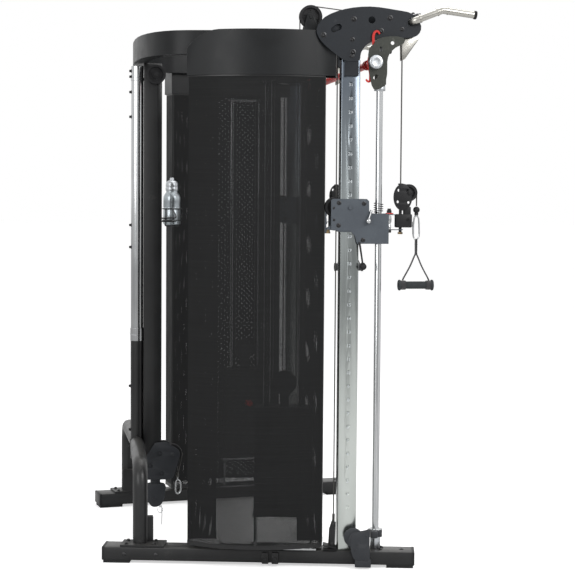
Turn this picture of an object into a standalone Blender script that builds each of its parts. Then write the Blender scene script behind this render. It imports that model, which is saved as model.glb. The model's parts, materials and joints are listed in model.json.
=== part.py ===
"""Cable crossover machine: two weight towers on splayed rails, a rear arch, a Smith bar and two pulley arms.

Metres, +Z up. The front faces -Y, and the origin is on the floor in the middle of the machine's box.
The +X half is modelled, and each of its pieces is mirrored to -X.
"""

import math

import bmesh
import bpy
from mathutils import Matrix, Vector

# Overall layout. A "station" is a distance forward from the rear ends of the rails.
rear_y = 0.6766
gap = 0.0003

# Base rails, splayed outwards towards the front
rail_rear_x = 0.528
rail_angle = math.radians(11.0)
rail_length = 1.176
rail_width = 0.100
rail_height = 0.050
foot_height = 0.012
foot_length = 0.110
rail_top = foot_height + rail_height

# Rear arch, column and pole
leg_radius = 0.029
leg_station = 0.137
leg_elbow_radius = 0.085
arch_z = 0.365
flange_length = 0.165
flange_thickness = 0.008
pole_station = 0.150
pole_radius = 0.025
pole_top = 1.905
sleeve_radius = 0.026
sleeve_bottom = 0.300
sleeve_top = 0.840
column_width = 0.050
rear_column_depth = 0.073
rear_column_bottom = 0.250
fascia_bottom = 1.915
fascia_height = 0.090
fascia_depth = 0.055
fascia_rear = 0.135
fascia_join = 0.330
fascia_seat = 0.430
rear_pulley_radius = 0.040
rear_low_plate_thickness = 0.006

# Towers, measured along and across the rail
tower_start = 0.323
tower_end = 0.829
tower_half_width = 0.045
tower_inner = 0.066
tower_bulge_out = 0.075
tower_return = 0.100
mesh_thickness = 0.002
mesh_bottom = 0.075
mesh_top = 1.838
cap_end = 0.868
cap_overlap = 0.0055
cap_bottom = 1.827
cap_height = 0.165
cap_wall = 0.004
cap_corner = 0.140

# Weight stacks
stack_centre = 0.6825
stack_rod_radius = 0.0125
stack_rod_spacing = 0.131
stack_rod_top = 1.815
riser_top = 0.195
plate_length = 0.217
plate_width = 0.110
plate_pitch = 0.024
plate_groove = 0.003
resting_count = 10
lifted_count = 7
stem_radius = 0.011
stack_pulley_radius = 0.046
pulley_width = 0.022
groove_depth = 0.005
cable_seat = 0.0006
axle_radius = 0.008
running_gap = 0.0004

# Front uprights
front_x = 0.712
column_station = 0.899
column_depth = 0.070
column_top = 1.8885
hole_pitch = 0.0508
hole_radius = 0.0065
hole_depth = 0.006
first_hole_z = 0.250
last_hole_z = 1.800
smith_rod_station = 1.012
smith_rod_radius = 0.0125
smith_rod_top = 1.975
collar_radius = 0.026
collar_bottom = 0.106
collar_top = 0.137

# Top plates and pull-up bar
plate_outer_x = 0.0400
plate_inner_x = 0.0278
top_plate_thickness = 0.005
bar_radius = 0.0135
bar_station = 1.122
bar_z = 2.028
bar_grip_x = 0.775
bar_elbow = (1.232, 2.071)
bar_end = (1.360, 2.055)
inner_plate_rear = 0.864
top_pulley_station = 0.755
top_pulley_radius = 0.0425
top_pulley_z = 2.046

# Adjustable pulley carriage, swivel and handle
carriage_bottom = 1.200
carriage_height = 0.176
carriage_wall = 0.007
slide_gap = 0.0006
arm_height = 0.112
arm_front = 1.045
swivel_station = 1.095
lug_z = (1.262, 1.318)
lug_thickness = 0.003
lug_half_width = 0.011
swivel_pin_radius = 0.006
swivel_pulley_radius = 0.032
swivel_pulley_z = 1.400
cable_radius = 0.003
strap_top = 1.225
grip_z = 1.055
grip_length = 0.133
grip_radius = 0.0145
core_radius = 0.008
end_disc_radius = 0.0175

# Smith carriages and bar
smith_plate_x = 0.0535
smith_plate_thickness = 0.005
housing_radius = 0.020
housing_bottom = 1.792
housing_height = 0.066
smith_bar_station = 0.983
smith_bar_z = 1.877
smith_bar_radius = 0.0135
bearing_disc_radius = 0.026
hook_x = 0.048
hook_radius = 0.0045
hook_ring = 0.009
end_sleeve = 0.003
disc_depth = 0.024

# Bottle and holder on the far leg of the rear frame
bottle_x = 0.300
bottle_station = 0.312
bottle_radius = 0.0375
bottle_bottom = 1.255

finishes = {
    "black_paint": ((0.020, 0.021, 0.022), 0.42, 0.0),
    "satin_black": ((0.024, 0.026, 0.028), 0.35, 0.0),
    "mesh_black": ((0.018, 0.019, 0.019), 0.60, 0.0),
    "chrome": ((0.62, 0.64, 0.66), 0.12, 1.0),
    "cast_plate": ((0.022, 0.022, 0.023), 0.55, 0.0),
    "slate_plate": ((0.100, 0.115, 0.130), 0.38, 0.2),
    "blue_black": ((0.036, 0.040, 0.052), 0.40, 0.1),
    "olive_grey": ((0.075, 0.083, 0.075), 0.45, 0.2),
    "red_paint": ((0.48, 0.030, 0.022), 0.35, 0.0),
    "nylon": ((0.025, 0.025, 0.026), 0.50, 0.0),
    "rubber": ((0.060, 0.064, 0.066), 0.75, 0.0),
    "steel_cable": ((0.10, 0.10, 0.10), 0.45, 0.4),
    "webbing": ((0.022, 0.022, 0.024), 0.80, 0.0),
    "bottle_metal": ((0.34, 0.38, 0.40), 0.35, 0.8),
}


def clear_scene():
    for old in list(bpy.data.objects):
        bpy.data.objects.remove(old, do_unlink=True)


def new_collection(name):
    collection = bpy.data.collections.new(name)
    bpy.context.scene.collection.children.link(collection)
    return collection


def finish_material(name):
    """One Principled material for each finish, made when it is first asked for."""
    material = bpy.data.materials.get(name)
    if material is None:
        colour, roughness, metallic = finishes[name]
        material = bpy.data.materials.new(name)
        material.use_nodes = True
        shader = material.node_tree.nodes["Principled BSDF"]
        shader.inputs["Base Color"].default_value = (*colour, 1.0)
        shader.inputs["Roughness"].default_value = roughness
        shader.inputs["Metallic"].default_value = metallic
    return material


def at(x, station, z):
    return Vector((x, rear_y - station, z))


def on_rail(along, across, z):
    """A point given along and across the +X rail, from its rear end."""
    x = rail_rear_x + along * math.sin(rail_angle) + across * math.cos(rail_angle)
    station = along * math.cos(rail_angle) - across * math.sin(rail_angle)
    return at(x, station, z)


def place(name, mesh, finish=None):
    """Links a mesh as a piece, or as a helper when no finish is given."""
    obj = bpy.data.objects.new(name, mesh)
    if finish is None:
        helpers.objects.link(obj)
        obj.hide_render = True
        obj.display_type = "WIRE"
    else:
        pieces.objects.link(obj)
        mesh.materials.clear()
        mesh.materials.append(finish_material(finish))
    return obj


def mesh_of(name, bm):
    mesh = bpy.data.meshes.new(name)
    bmesh.ops.recalc_face_normals(bm, faces=bm.faces)
    bm.to_mesh(mesh)
    bm.free()
    return mesh


def box(name, centre, size, finish=None, turn=0.0, bevel=0.0):
    """A block turned about Z, with its edges rounded."""
    bm = bmesh.new()
    bmesh.ops.create_cube(bm, size=1.0)
    bmesh.ops.scale(bm, vec=size, verts=bm.verts)
    if bevel:
        bmesh.ops.bevel(bm, geom=bm.edges[:], offset=bevel, segments=2, profile=0.5, affect="EDGES")
    bmesh.ops.transform(bm, matrix=Matrix.Translation(centre) @ Matrix.Rotation(turn, 4, "Z"),
                        verts=bm.verts)
    return place(name, mesh_of(name, bm), finish)


def rod(name, start, end, radius, finish=None, sides=20, end_radius=None):
    """A round bar or a cone between two points."""
    along = end - start
    bm = bmesh.new()
    bmesh.ops.create_cone(
        bm, cap_ends=True, segments=sides, radius1=radius,
        radius2=radius if end_radius is None else end_radius, depth=along.length,
    )
    turn = along.to_track_quat("Z", "Y").to_matrix().to_4x4()
    bmesh.ops.transform(bm, matrix=Matrix.Translation((start + end) / 2) @ turn, verts=bm.verts)
    obj = place(name, mesh_of(name, bm), finish)
    obj.data.shade_smooth()
    obj.data.set_sharp_from_angle(angle=math.radians(40))
    return obj


def as_mesh(curve_object, name, finish):
    """Turns a curve object into a mesh object with its caps welded."""
    bpy.context.view_layer.update()
    graph = bpy.context.evaluated_depsgraph_get()
    mesh = bpy.data.meshes.new_from_object(curve_object.evaluated_get(graph))
    matrix = curve_object.matrix_world.copy()
    curve = curve_object.data
    bpy.data.objects.remove(curve_object, do_unlink=True)
    bpy.data.curves.remove(curve)
    bm = bmesh.new()
    bm.from_mesh(mesh)
    bmesh.ops.remove_doubles(bm, verts=bm.verts, dist=0.00001)
    bmesh.ops.transform(bm, matrix=matrix, verts=bm.verts)
    bpy.data.meshes.remove(mesh)
    return place(name, mesh_of(name, bm), finish)


def tube(name, points, radius, finish=None, resolution=3):
    """A round tube along a line of points."""
    curve = bpy.data.curves.new(name + "_path", "CURVE")
    curve.dimensions = "3D"
    curve.bevel_depth = radius
    curve.bevel_resolution = resolution
    curve.use_fill_caps = True
    spline = curve.splines.new("POLY")
    spline.points.add(len(points) - 1)
    for slot, point in zip(spline.points, points):
        slot.co = (*point, 1.0)
    guide = bpy.data.objects.new(name + "_path", curve)
    helpers.objects.link(guide)
    obj = as_mesh(guide, name, finish)
    obj.data.shade_smooth()
    obj.data.set_sharp_from_angle(angle=math.radians(40))
    return obj


def rounded(points, radius, steps=6):
    """The points of a path with its inner corners rounded."""
    path = [points[0]]
    for before, corner, after in zip(points, points[1:], points[2:]):
        a = (before - corner).normalized()
        b = (after - corner).normalized()
        half = a.angle(b) / 2
        reach = radius / math.tan(half)
        centre = corner + (a + b).normalized() * radius / math.sin(half)
        first = corner + a * reach - centre
        last = corner + b * reach - centre
        for step in range(steps + 1):
            path.append(centre + first.normalized().slerp(last.normalized(), step / steps) * radius)
    path.append(points[-1])
    return path


def slab(name, outlines, depth, matrix, finish=None):
    """A flat plate: closed outlines, the first outside and the rest holes, filled and thickened."""
    curve = bpy.data.curves.new(name + "_outline", "CURVE")
    curve.dimensions = "2D"
    curve.fill_mode = "BOTH"
    curve.extrude = depth / 2
    for outline in outlines:
        spline = curve.splines.new("POLY")
        spline.points.add(len(outline) - 1)
        for slot, (u, v) in zip(spline.points, outline):
            slot.co = (u, v, 0.0, 1.0)
        spline.use_cyclic_u = True
    guide = bpy.data.objects.new(name + "_outline", curve)
    guide.matrix_world = matrix
    helpers.objects.link(guide)
    return as_mesh(guide, name, finish)


def side_matrix(x):
    """Outline axes (station, z) to the plane at x."""
    return Matrix(((0, 0, 1, x), (-1, 0, 0, rear_y), (0, 1, 0, 0), (0, 0, 0, 1)))


def plan_matrix(z):
    """Outline axes (x, y) to the level z."""
    return Matrix.Translation((0, 0, z))


def circle(centre, radius, sides=20, start=0.0, sweep=math.tau):
    full = abs(sweep - math.tau) < 1e-6
    count = sides if full else sides + 1
    return [
        (
            centre[0] + radius * math.cos(start + sweep * i / sides),
            centre[1] + radius * math.sin(start + sweep * i / sides),
        )
        for i in range(count)
    ]


def hull_of_circles(spots, sides=24):
    """The outline of a plate stretched round several discs, each (u, v, radius)."""
    points = [p for u, v, r in spots for p in circle((u, v), r, sides)]
    points = sorted(set(points))

    def half(ordered):
        chain = []
        for p in ordered:
            while len(chain) > 1 and turn_of(chain[-2], chain[-1], p) <= 1e-9:
                chain.pop()
            chain.append(p)
        return chain[:-1]

    return half(points) + half(points[::-1])


def turn_of(a, b, c):
    return (b[0] - a[0]) * (c[1] - a[1]) - (b[1] - a[1]) * (c[0] - a[0])


def combine(obj, others, operation="UNION"):
    for other in others:
        modifier = obj.modifiers.new(other.name, "BOOLEAN")
        modifier.operation = operation
        modifier.object = other
        modifier.solver = "EXACT"
    return obj


def turned(name, profile, centre, axis, finish, steps=24):
    """A ring or wheel: a profile of (radius, offset) pairs turned round an axis."""
    bm = bmesh.new()
    turn = axis.to_track_quat("Z", "Y").to_matrix().to_4x4()
    rings = []
    for step in range(steps):
        angle = math.tau * step / steps
        rings.append([
            bm.verts.new((r * math.cos(angle), r * math.sin(angle), offset)) for r, offset in profile
        ])
    count = len(profile)
    for step, ring in enumerate(rings):
        following = rings[(step + 1) % steps]
        for i in range(count):
            j = (i + 1) % count
            bm.faces.new((ring[i], following[i], following[j], ring[j]))
    bmesh.ops.transform(bm, matrix=Matrix.Translation(centre) @ turn, verts=bm.verts)
    obj = place(name, mesh_of(name, bm), finish)
    obj.data.shade_smooth()
    obj.data.set_sharp_from_angle(angle=math.radians(35))
    return obj


def pulley(name, centre, axis, radius, width=pulley_width, bore=axle_radius + running_gap, finish="nylon"):
    """A grooved wheel with a bore."""
    half = width / 2
    profile = [(bore, -half), (radius, -half), (radius - groove_depth, 0.0), (radius, half), (bore, half)]
    return turned(name, profile, centre, axis, finish)


def pivot(obj, point):
    """Puts a moving piece's origin on its joint."""
    obj.data.transform(Matrix.Translation(-point))
    obj.location = point
    return obj


def mirrored(obj):
    """The -X twin of a +X piece."""
    bpy.context.view_layer.update()
    graph = bpy.context.evaluated_depsgraph_get()
    mesh = bpy.data.meshes.new_from_object(obj.evaluated_get(graph))
    flip = Matrix.Diagonal((-1.0, 1.0, 1.0, 1.0))
    mesh.transform(flip @ obj.matrix_world)
    mesh.flip_normals()
    place_at = flip @ obj.matrix_world.translation
    mesh.transform(Matrix.Translation(-place_at))
    twin = bpy.data.objects.new(obj.name.replace("right", "left"), mesh)
    pieces.objects.link(twin)
    twin.location = place_at
    return twin


# Base

def base_rail():
    middle = on_rail(rail_length / 2, 0, foot_height + rail_height / 2)
    rail = box("base_rail_right", middle, (rail_width, rail_length, rail_height), "black_paint", rail_angle,
               0.004)
    feet = []
    for label, along in (("rear", foot_length / 2), ("front", rail_length - foot_length / 2)):
        centre = on_rail(along, 0, (foot_height + 0.001) / 2)
        feet.append(box("foot_" + label, centre, (rail_width - 0.014, foot_length - 0.010,
                                                  foot_height + 0.001),
                        turn=rail_angle))
    return combine(rail, feet)


def rear_leg():
    """Flange on the rail, leg, elbow and the arch's half that reaches the pole sleeve."""
    foot = on_rail(leg_station / math.cos(rail_angle) + 0.013, 0, rail_top + gap)
    flange_middle = foot + Vector((0, 0, flange_thickness / 2))
    leg_x = foot.x
    arch_end = at(sleeve_radius + 2 * gap, pole_station, arch_z)
    path = rounded([
        at(leg_x, leg_station, rail_top + flange_thickness / 2),
        at(leg_x, leg_station, arch_z),
        arch_end,
    ], leg_elbow_radius)
    leg = tube("rear_leg_right", path, leg_radius, "black_paint")
    flange = box("flange", flange_middle, (rail_width, flange_length, flange_thickness), turn=rail_angle)
    bracket = box("foot_bracket", flange_middle + Vector((-0.030, 0.0, 0.050)), (0.036, 0.075, 0.097))
    return combine(leg, [flange, bracket])


# Rear column and pole

def rear_column_station():
    return pole_station + sleeve_radius + gap + rear_column_depth / 2


def rear_column():
    height = fascia_bottom - gap - rear_column_bottom
    column = box("rear_column", at(0, rear_column_station(), rear_column_bottom + height / 2),
                 (column_width, rear_column_depth, height), "black_paint", bevel=0.003)
    x = column_width / 2
    axle = rod("high_axle", at(0, high_pulley_station(), high_pulley_z()),
               at(-x - pulley_width - 0.006, high_pulley_station(), high_pulley_z()), axle_radius)
    return combine(column, [axle])


def high_pulley_station():
    return rear_column_station() + 0.010


def high_pulley_z():
    return fascia_bottom - rear_pulley_radius - 0.004


def rear_high_pulley():
    x = -(column_width / 2 + pulley_width / 2 + 0.001)
    centre = at(x, high_pulley_station(), high_pulley_z())
    return pivot(pulley("rear_high_pulley", centre, Vector((1, 0, 0)), rear_pulley_radius), centre)


def rear_pole():
    """The upright post: a black outer tube below and the chromed inner tube above it."""
    sleeve = rod("rear_pole", at(0, pole_station, sleeve_bottom), at(0, pole_station, sleeve_top),
                 sleeve_radius, "chrome", 28)
    inner = rod("inner_tube", at(0, pole_station, sleeve_top - 0.010), at(0, pole_station, pole_top),
                pole_radius, sides=28)
    return combine(sleeve, [inner])


def rear_fascia():
    """A bowed beam from tower to tower, over the rear column, its ends along the caps' inner faces."""
    face = -(tower_inner + cap_overlap + gap)
    first = on_rail(fascia_join, face, 0)
    last = on_rail(fascia_seat, face, 0)
    rear = at(0, fascia_rear, 0).y
    sweep = rear - first.y - 0.006
    outer = [(0.0, rear)]
    inner = [(0.0, rear - fascia_depth)]
    for i in range(1, 9):
        angle = math.radians(10.5 * i)
        back = (1 - math.cos(angle)) ** 1.25
        outer.append(((first.x - 0.005) * math.sin(angle), rear - sweep * back))
        inner.append(((first.x - fascia_depth * 0.6) * math.sin(angle),
                      rear - fascia_depth - sweep * back * 0.86))
    outer += [(first.x, first.y), (last.x, last.y)]
    inner += [(last.x - fascia_depth * 0.6, last.y)]
    half = outer + inner[:0:-1]
    outline = half + [inner[0]] + [(-x, y) for x, y in half[:0:-1]]
    return slab("rear_fascia", [outline], fascia_height, plan_matrix(fascia_bottom + fascia_height / 2),
                "satin_black")


def low_axle():
    return at(0, rear_column_station() + rear_column_depth / 2 + rear_pulley_radius + 0.006, 0.318)


def rear_low_plates():
    """Two cheeks bolted to the foot of the rear column, with the low pulley's axle between them."""
    station = rear_column_station()
    axle_at = low_axle()
    axle_station = rear_y - axle_at.y
    spots = [(station - 0.010, 0.345, 0.022), (station + 0.004, 0.262, 0.024),
             (axle_station, axle_at.z, 0.026)]
    outline = hull_of_circles(spots, 16)
    holes = [circle((station - 0.004, 0.300), 0.010, 12), circle((station + 0.032, 0.306), 0.008, 12)]
    x = column_width / 2 + gap + rear_low_plate_thickness / 2
    near = slab("rear_low_plates", [outline] + holes, rear_low_plate_thickness, side_matrix(x), "blue_black")
    far = slab("far_cheek", [outline] + holes, rear_low_plate_thickness, side_matrix(-x))
    reach = x + rear_low_plate_thickness / 2 + 0.006
    axle = rod("low_axle", axle_at - Vector((reach, 0, 0)), axle_at + Vector((reach, 0, 0)), axle_radius)
    return combine(near, [far, axle])


def rear_low_pulley():
    return pivot(pulley("rear_low_pulley", low_axle(), Vector((1, 0, 0)), rear_pulley_radius), low_axle())


# Towers

def tower_outline(grow):
    """The bowed outer side of a tower as (along, across) points, and how far its inner side lies across."""
    count = 14
    side = []
    for i in range(count + 1):
        t = i / count
        across = tower_half_width + grow + tower_bulge_out * (1 - (2 * t - 1) ** 2)
        side.append((tower_start + (tower_end - tower_start) * t, across))
    return side, -(tower_inner + grow)


def mesh_shroud():
    """A bowed mesh sheet with returned ends, open towards the user's bay."""
    side, inner = tower_outline(0.0)
    corner = 0.012
    path = [(tower_start + tower_return, inner), (tower_start + corner, inner),
            (tower_start, inner + corner)]
    path += [(tower_start, side[0][1] - corner)] + side[1:-1] + [(tower_end, side[-1][1] - corner)]
    path += [(tower_end, inner + corner), (tower_end - corner, inner), (tower_end - tower_return, inner)]
    bm = bmesh.new()
    verts = []
    for along, across in path:
        spot = on_rail(along, across, 0)
        verts.append(bm.verts.new((spot.x, spot.y, mesh_bottom)))
    edges = [bm.edges.new(pair) for pair in zip(verts, verts[1:])]
    result = bmesh.ops.extrude_edge_only(bm, edges=edges)
    lifted = [v for v in result["geom"] if isinstance(v, bmesh.types.BMVert)]
    bmesh.ops.translate(bm, verts=lifted, vec=(0, 0, mesh_top - mesh_bottom))
    shroud = place("mesh_shroud_right", mesh_of("mesh_shroud_right", bm), "mesh_black")
    solidify = shroud.modifiers.new("sheet", "SOLIDIFY")
    solidify.thickness = mesh_thickness
    solidify.offset = 0.0
    return shroud


def cap_block(name, inset, finish=None, drop=0.0):
    """The cap's outer form: its bowed plan met by a side view with a round rear corner."""
    grow = cap_overlap - inset
    start = tower_start - grow
    end = cap_end - inset
    side, inner = tower_outline(grow)
    plan = [(start, inner), (start, side[0][1])] + side[1:] + [(end, side[-1][1]), (end, inner)]
    plan = [on_rail(along, across, 0).to_2d() for along, across in plan]
    top = cap_bottom + cap_height - inset
    bottom = cap_bottom - drop
    block = slab(name, [[tuple(p) for p in plan]], top - bottom, plan_matrix((top + bottom) / 2), finish)
    rear = start * math.cos(rail_angle) - 0.030 + inset
    radius = cap_corner - inset
    arc = circle((rear + radius, top + 0.0008 - radius), radius, 8, math.pi, -math.pi / 2)
    front = cap_end + 0.05
    profile = [(rear, bottom - 0.01)] + arc + [(front, top + 0.0008), (front, bottom - 0.01)]
    view = slab(name + "_view", [profile], 0.60, side_matrix(0.62))
    return combine(block, [view], "INTERSECT")


def tower_cap():
    cap = cap_block("tower_cap_right", 0.0, "satin_black")
    combine(cap, [cap_block("cap_hollow", cap_wall, drop=0.02)], "DIFFERENCE")
    axle_at = top_pulley_at()
    top = cap_bottom + cap_height
    ears = []
    for side in (-1, 1):
        x = axle_at.x + side * (pulley_width / 2 + 0.0045)
        outline = hull_of_circles([(top_pulley_station, top_pulley_z, 0.016),
                                   (top_pulley_station - 0.02, top, 0.010), (top_pulley_station + 0.02, top,
                                                                             0.010)], 12)
        ears.append(slab("pulley_ear", [outline], 0.005, side_matrix(x)))
    reach = Vector((pulley_width / 2 + 0.010, 0, 0))
    ears.append(rod("ear_axle", axle_at - reach, axle_at + reach, axle_radius, sides=16))
    return combine(cap, ears)


def top_pulley_at():
    x = on_rail(top_pulley_station / math.cos(rail_angle), 0.010, 0).x
    return at(x, top_pulley_station, top_pulley_z)


def top_pulley():
    return pivot(pulley("top_pulley_right", top_pulley_at(), Vector((1, 0, 0)), top_pulley_radius),
                 top_pulley_at())


# Weight stacks

def cable_reach(radius):
    """How far from a pulley's axle its cable's centre lies."""
    return radius - groove_depth + cable_radius + cable_seat


def stack_axis(z, along=0.0, across=0.0):
    return on_rail(stack_centre + along, across, z)


def rail_across():
    return Vector((math.cos(rail_angle), math.sin(rail_angle), 0))


def stack_guides():
    """Guide rods with their riser below and their tie plate above."""
    foot = rail_top + gap
    half = stack_rod_spacing / 2
    guides = box("stack_guides_right", stack_axis(foot + 0.003), (0.098, 0.250, 0.006), "chrome", rail_angle)
    parts = [box("riser_top", stack_axis(riser_top - 0.005), (0.092, 0.230, 0.010), turn=rail_angle)]
    for label, side in (("rear", -1), ("front", 1)):
        parts.append(box("riser_" + label, stack_axis((foot + riser_top) / 2, side * 0.105),
                         (0.086, 0.008, riser_top - foot - 0.004), turn=rail_angle))
        low = stack_axis(riser_top - 0.008, side * half)
        high = stack_axis(stack_rod_top, side * half)
        parts.append(rod("guide_" + label, low, high, stack_rod_radius))
    parts.append(box("rod_tie", stack_axis(stack_rod_top - 0.010), (0.070, 0.190, 0.010), turn=rail_angle))
    combine(guides, parts)
    reach = cable_reach(stack_pulley_radius)
    holes = [rod("cable_hole", stack_axis(stack_rod_top - 0.03, side * reach),
                 stack_axis(stack_rod_top + 0.01, side * reach),
                 0.007, sides=12) for side in (-1, 1)]
    return combine(guides, holes, "DIFFERENCE")


def plates_block(name, bottom, count, finish):
    """A pile of iron plates with shadow gaps, bored for the rods and the stem."""
    height = count * plate_pitch - plate_groove
    core = box(name, stack_axis(bottom + height / 2), (plate_width - 0.008, plate_length - 0.008,
                                                       height - 0.002),
               finish, rail_angle)
    bm = bmesh.new()
    for i in range(count):
        made = bmesh.ops.create_cube(bm, size=1.0)["verts"]
        bmesh.ops.scale(bm, vec=(plate_width, plate_length, plate_pitch - plate_groove), verts=made)
        centre = stack_axis(bottom + (i + 0.5) * plate_pitch - plate_groove / 2)
        bmesh.ops.transform(bm, matrix=Matrix.Translation(centre) @ Matrix.Rotation(rail_angle, 4, "Z"),
                            verts=made)
    plates = place(name + "_plates", mesh_of(name + "_plates", bm))
    combine(core, [plates])
    bores = []
    for side in (-1, 1):
        along = side * stack_rod_spacing / 2
        bores.append(rod("rod_bore", stack_axis(bottom - 0.01, along),
                         stack_axis(bottom + height + 0.01, along),
                         stack_rod_radius + 0.001, sides=16))
    return core, bores, bottom + height


def resting_bottom():
    return riser_top + gap


def lifted_bottom():
    return resting_bottom() + resting_count * plate_pitch - plate_groove + gap


def pin_z():
    return lifted_bottom() + plate_pitch / 2


def resting_plates():
    block, bores, top = plates_block("resting_plates_right", resting_bottom(), resting_count, "cast_plate")
    bores.append(rod("stem_bore", stack_axis(resting_bottom() - 0.01), stack_axis(top + 0.01),
                     stem_radius + 0.002,
                     sides=16))
    return combine(block, bores, "DIFFERENCE")


def stack_pulley_at():
    return stack_axis(lifted_bottom() + lifted_count * plate_pitch + 0.085)


def lifted_plates():
    """The selected plates with their stem, and the yoke that carries the moving pulley."""
    block, bores, top = plates_block("lifted_plates_right", lifted_bottom(), lifted_count, "cast_plate")
    stem = rod("stem", stack_axis(resting_bottom() + 0.010), stack_axis(lifted_bottom() + 0.02),
               stem_radius, sides=16)
    yoke = [stem]
    for side in (-1, 1):
        across = side * (pulley_width / 2 + 0.0035)
        yoke.append(box("yoke_cheek", stack_axis((top + stack_pulley_at().z) / 2 + 0.008, 0, across),
                        (0.005, 0.034, stack_pulley_at().z - top + 0.020), turn=rail_angle))
    reach = rail_across() * (pulley_width / 2 + 0.009)
    yoke.append(rod("yoke_axle", stack_pulley_at() - reach, stack_pulley_at() + reach, axle_radius,
                    sides=16))
    combine(block, yoke)
    bores.append(rod("pin_bore", stack_axis(pin_z(), 0, -plate_width / 2 - 0.01),
                     stack_axis(pin_z(), 0, -0.001),
                     0.0056, sides=12))
    return combine(block, bores, "DIFFERENCE")


def stack_pulley():
    centre = stack_pulley_at()
    return pivot(pulley("stack_pulley_right", centre, rail_across(), stack_pulley_radius), centre)


def selector_pin():
    """The pin that picks the weight, with its round head towards the user's bay."""
    face = -plate_width / 2 - 0.001
    pin = rod("selector_pin_right", stack_axis(pin_z(), 0, -0.004), stack_axis(pin_z(), 0, face - 0.010),
              0.005,
              "red_paint", 12)
    head = rod("pin_head", stack_axis(pin_z(), 0, face), stack_axis(pin_z(), 0, face - 0.026), 0.016,
               sides=16,
               end_radius=0.013)
    return pivot(combine(pin, [head]), stack_axis(pin_z(), 0, face))


def stack_cable():
    """The loop round the moving pulley, with both ends up in the cap."""
    centre = stack_pulley_at()
    reach = cable_reach(stack_pulley_radius)
    along = Vector((math.sin(rail_angle), -math.cos(rail_angle), 0))
    top = Vector((0, 0, cap_bottom + 0.050 - centre.z))
    points = [centre + along * -reach + top]
    for i in range(13):
        angle = math.pi + math.pi * i / 12
        points.append(centre + along * (reach * math.cos(angle)) + Vector((0, 0, reach * math.sin(angle))))
    points.append(centre + along * reach + top)
    return tube("stack_cable_right", points, cable_radius, "steel_cable", 1)


# Front uprights and top plates

def front_column():
    """The chromed upright with its row of height holes on the outer face."""
    bottom = rail_top + gap
    height = column_top - bottom
    column = box("front_column_right", at(front_x, column_station, bottom + height / 2),
                 (column_width, column_depth, height), "chrome", bevel=0.003)
    bm = bmesh.new()
    count = int((last_hole_z - first_hole_z) / hole_pitch + 0.5) + 1
    for i in range(count):
        made = bmesh.ops.create_cone(bm, cap_ends=True, segments=6, radius1=hole_radius, radius2=hole_radius,
                                     depth=2 * hole_depth)["verts"]
        spot = at(front_x + column_width / 2, column_station, last_hole_z - i * hole_pitch)
        bmesh.ops.transform(bm, matrix=Matrix.Translation(spot) @ Matrix.Rotation(math.pi / 2, 4, "Y"),
                            verts=made)
    holes = place("height_holes", mesh_of("height_holes", bm))
    return combine(column, [holes], "DIFFERENCE")


def smith_guide_rod():
    bottom = rail_top + gap
    guide = rod("smith_guide_rod_right", at(front_x, smith_rod_station, bottom),
                at(front_x, smith_rod_station, smith_rod_top), smith_rod_radius, "chrome", 24)
    collar = rod("rod_collar", at(front_x, smith_rod_station, collar_bottom),
                 at(front_x, smith_rod_station, collar_top),
                 collar_radius, sides=24)
    return combine(guide, [collar])


def low_pulleys():
    """The cable turn on the outer side of the rail, beside the column's foot."""
    face = rail_width / 2 + gap
    along = 0.955
    plate = box("low_pulleys_right", on_rail(along, face + 0.003, 0.092), (0.006, 0.110, 0.148), "nylon",
                rail_angle, 0.002)
    discs = []
    for label, shift, z, radius in (("upper", -0.022, 0.111, 0.035), ("lower", 0.034, 0.058, 0.034)):
        inner = on_rail(along + shift, face + 0.004, z)
        discs.append(rod("disc_" + label, inner, inner + rail_across() * 0.026, radius, sides=24))
    return combine(plate, discs)


def smooth_loop(points, steps=3):
    """A closed outline through a few points, as a Catmull-Rom curve."""
    count = len(points)
    loop = []
    for i in range(count):
        p0, p1, p2, p3 = (Vector(points[(i + k) % count]) for k in (-1, 0, 1, 2))
        for step in range(steps):
            t = step / steps
            spot = 0.5 * (2 * p1 + (p2 - p0) * t + (2 * p0 - 5 * p1 + 4 * p2 - p3) * t ** 2
                          + (3 * p1 - p0 - 3 * p2 + p3) * t ** 3)
            loop.append((spot.x, spot.y))
    return loop


def top_outline(rear_limit):
    """The long leaf-shaped plate with its foot on the column, cut off behind the rear limit."""
    spots = [(0.767, 1.995), (0.798, 2.040), (0.872, 2.070), (0.965, 2.081), (1.060, 2.071), (1.125, 2.057),
             (1.157, 2.014), (1.142, 1.978), (1.095, 1.969), (1.020, 1.971), (0.962, 1.948), (0.934, 1.915),
             (0.927, 1.884), (0.899, 1.880), (0.872, 1.883), (0.829, 1.912), (0.783, 1.953)]
    loop = [(max(u, rear_limit), v) for u, v in smooth_loop(spots)]
    kept = [i for i, (u, v) in enumerate(loop) if u > rear_limit
            or loop[i - 1][0] > rear_limit or loop[(i + 1) % len(loop)][0] > rear_limit]
    return [loop[i] for i in kept]


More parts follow.
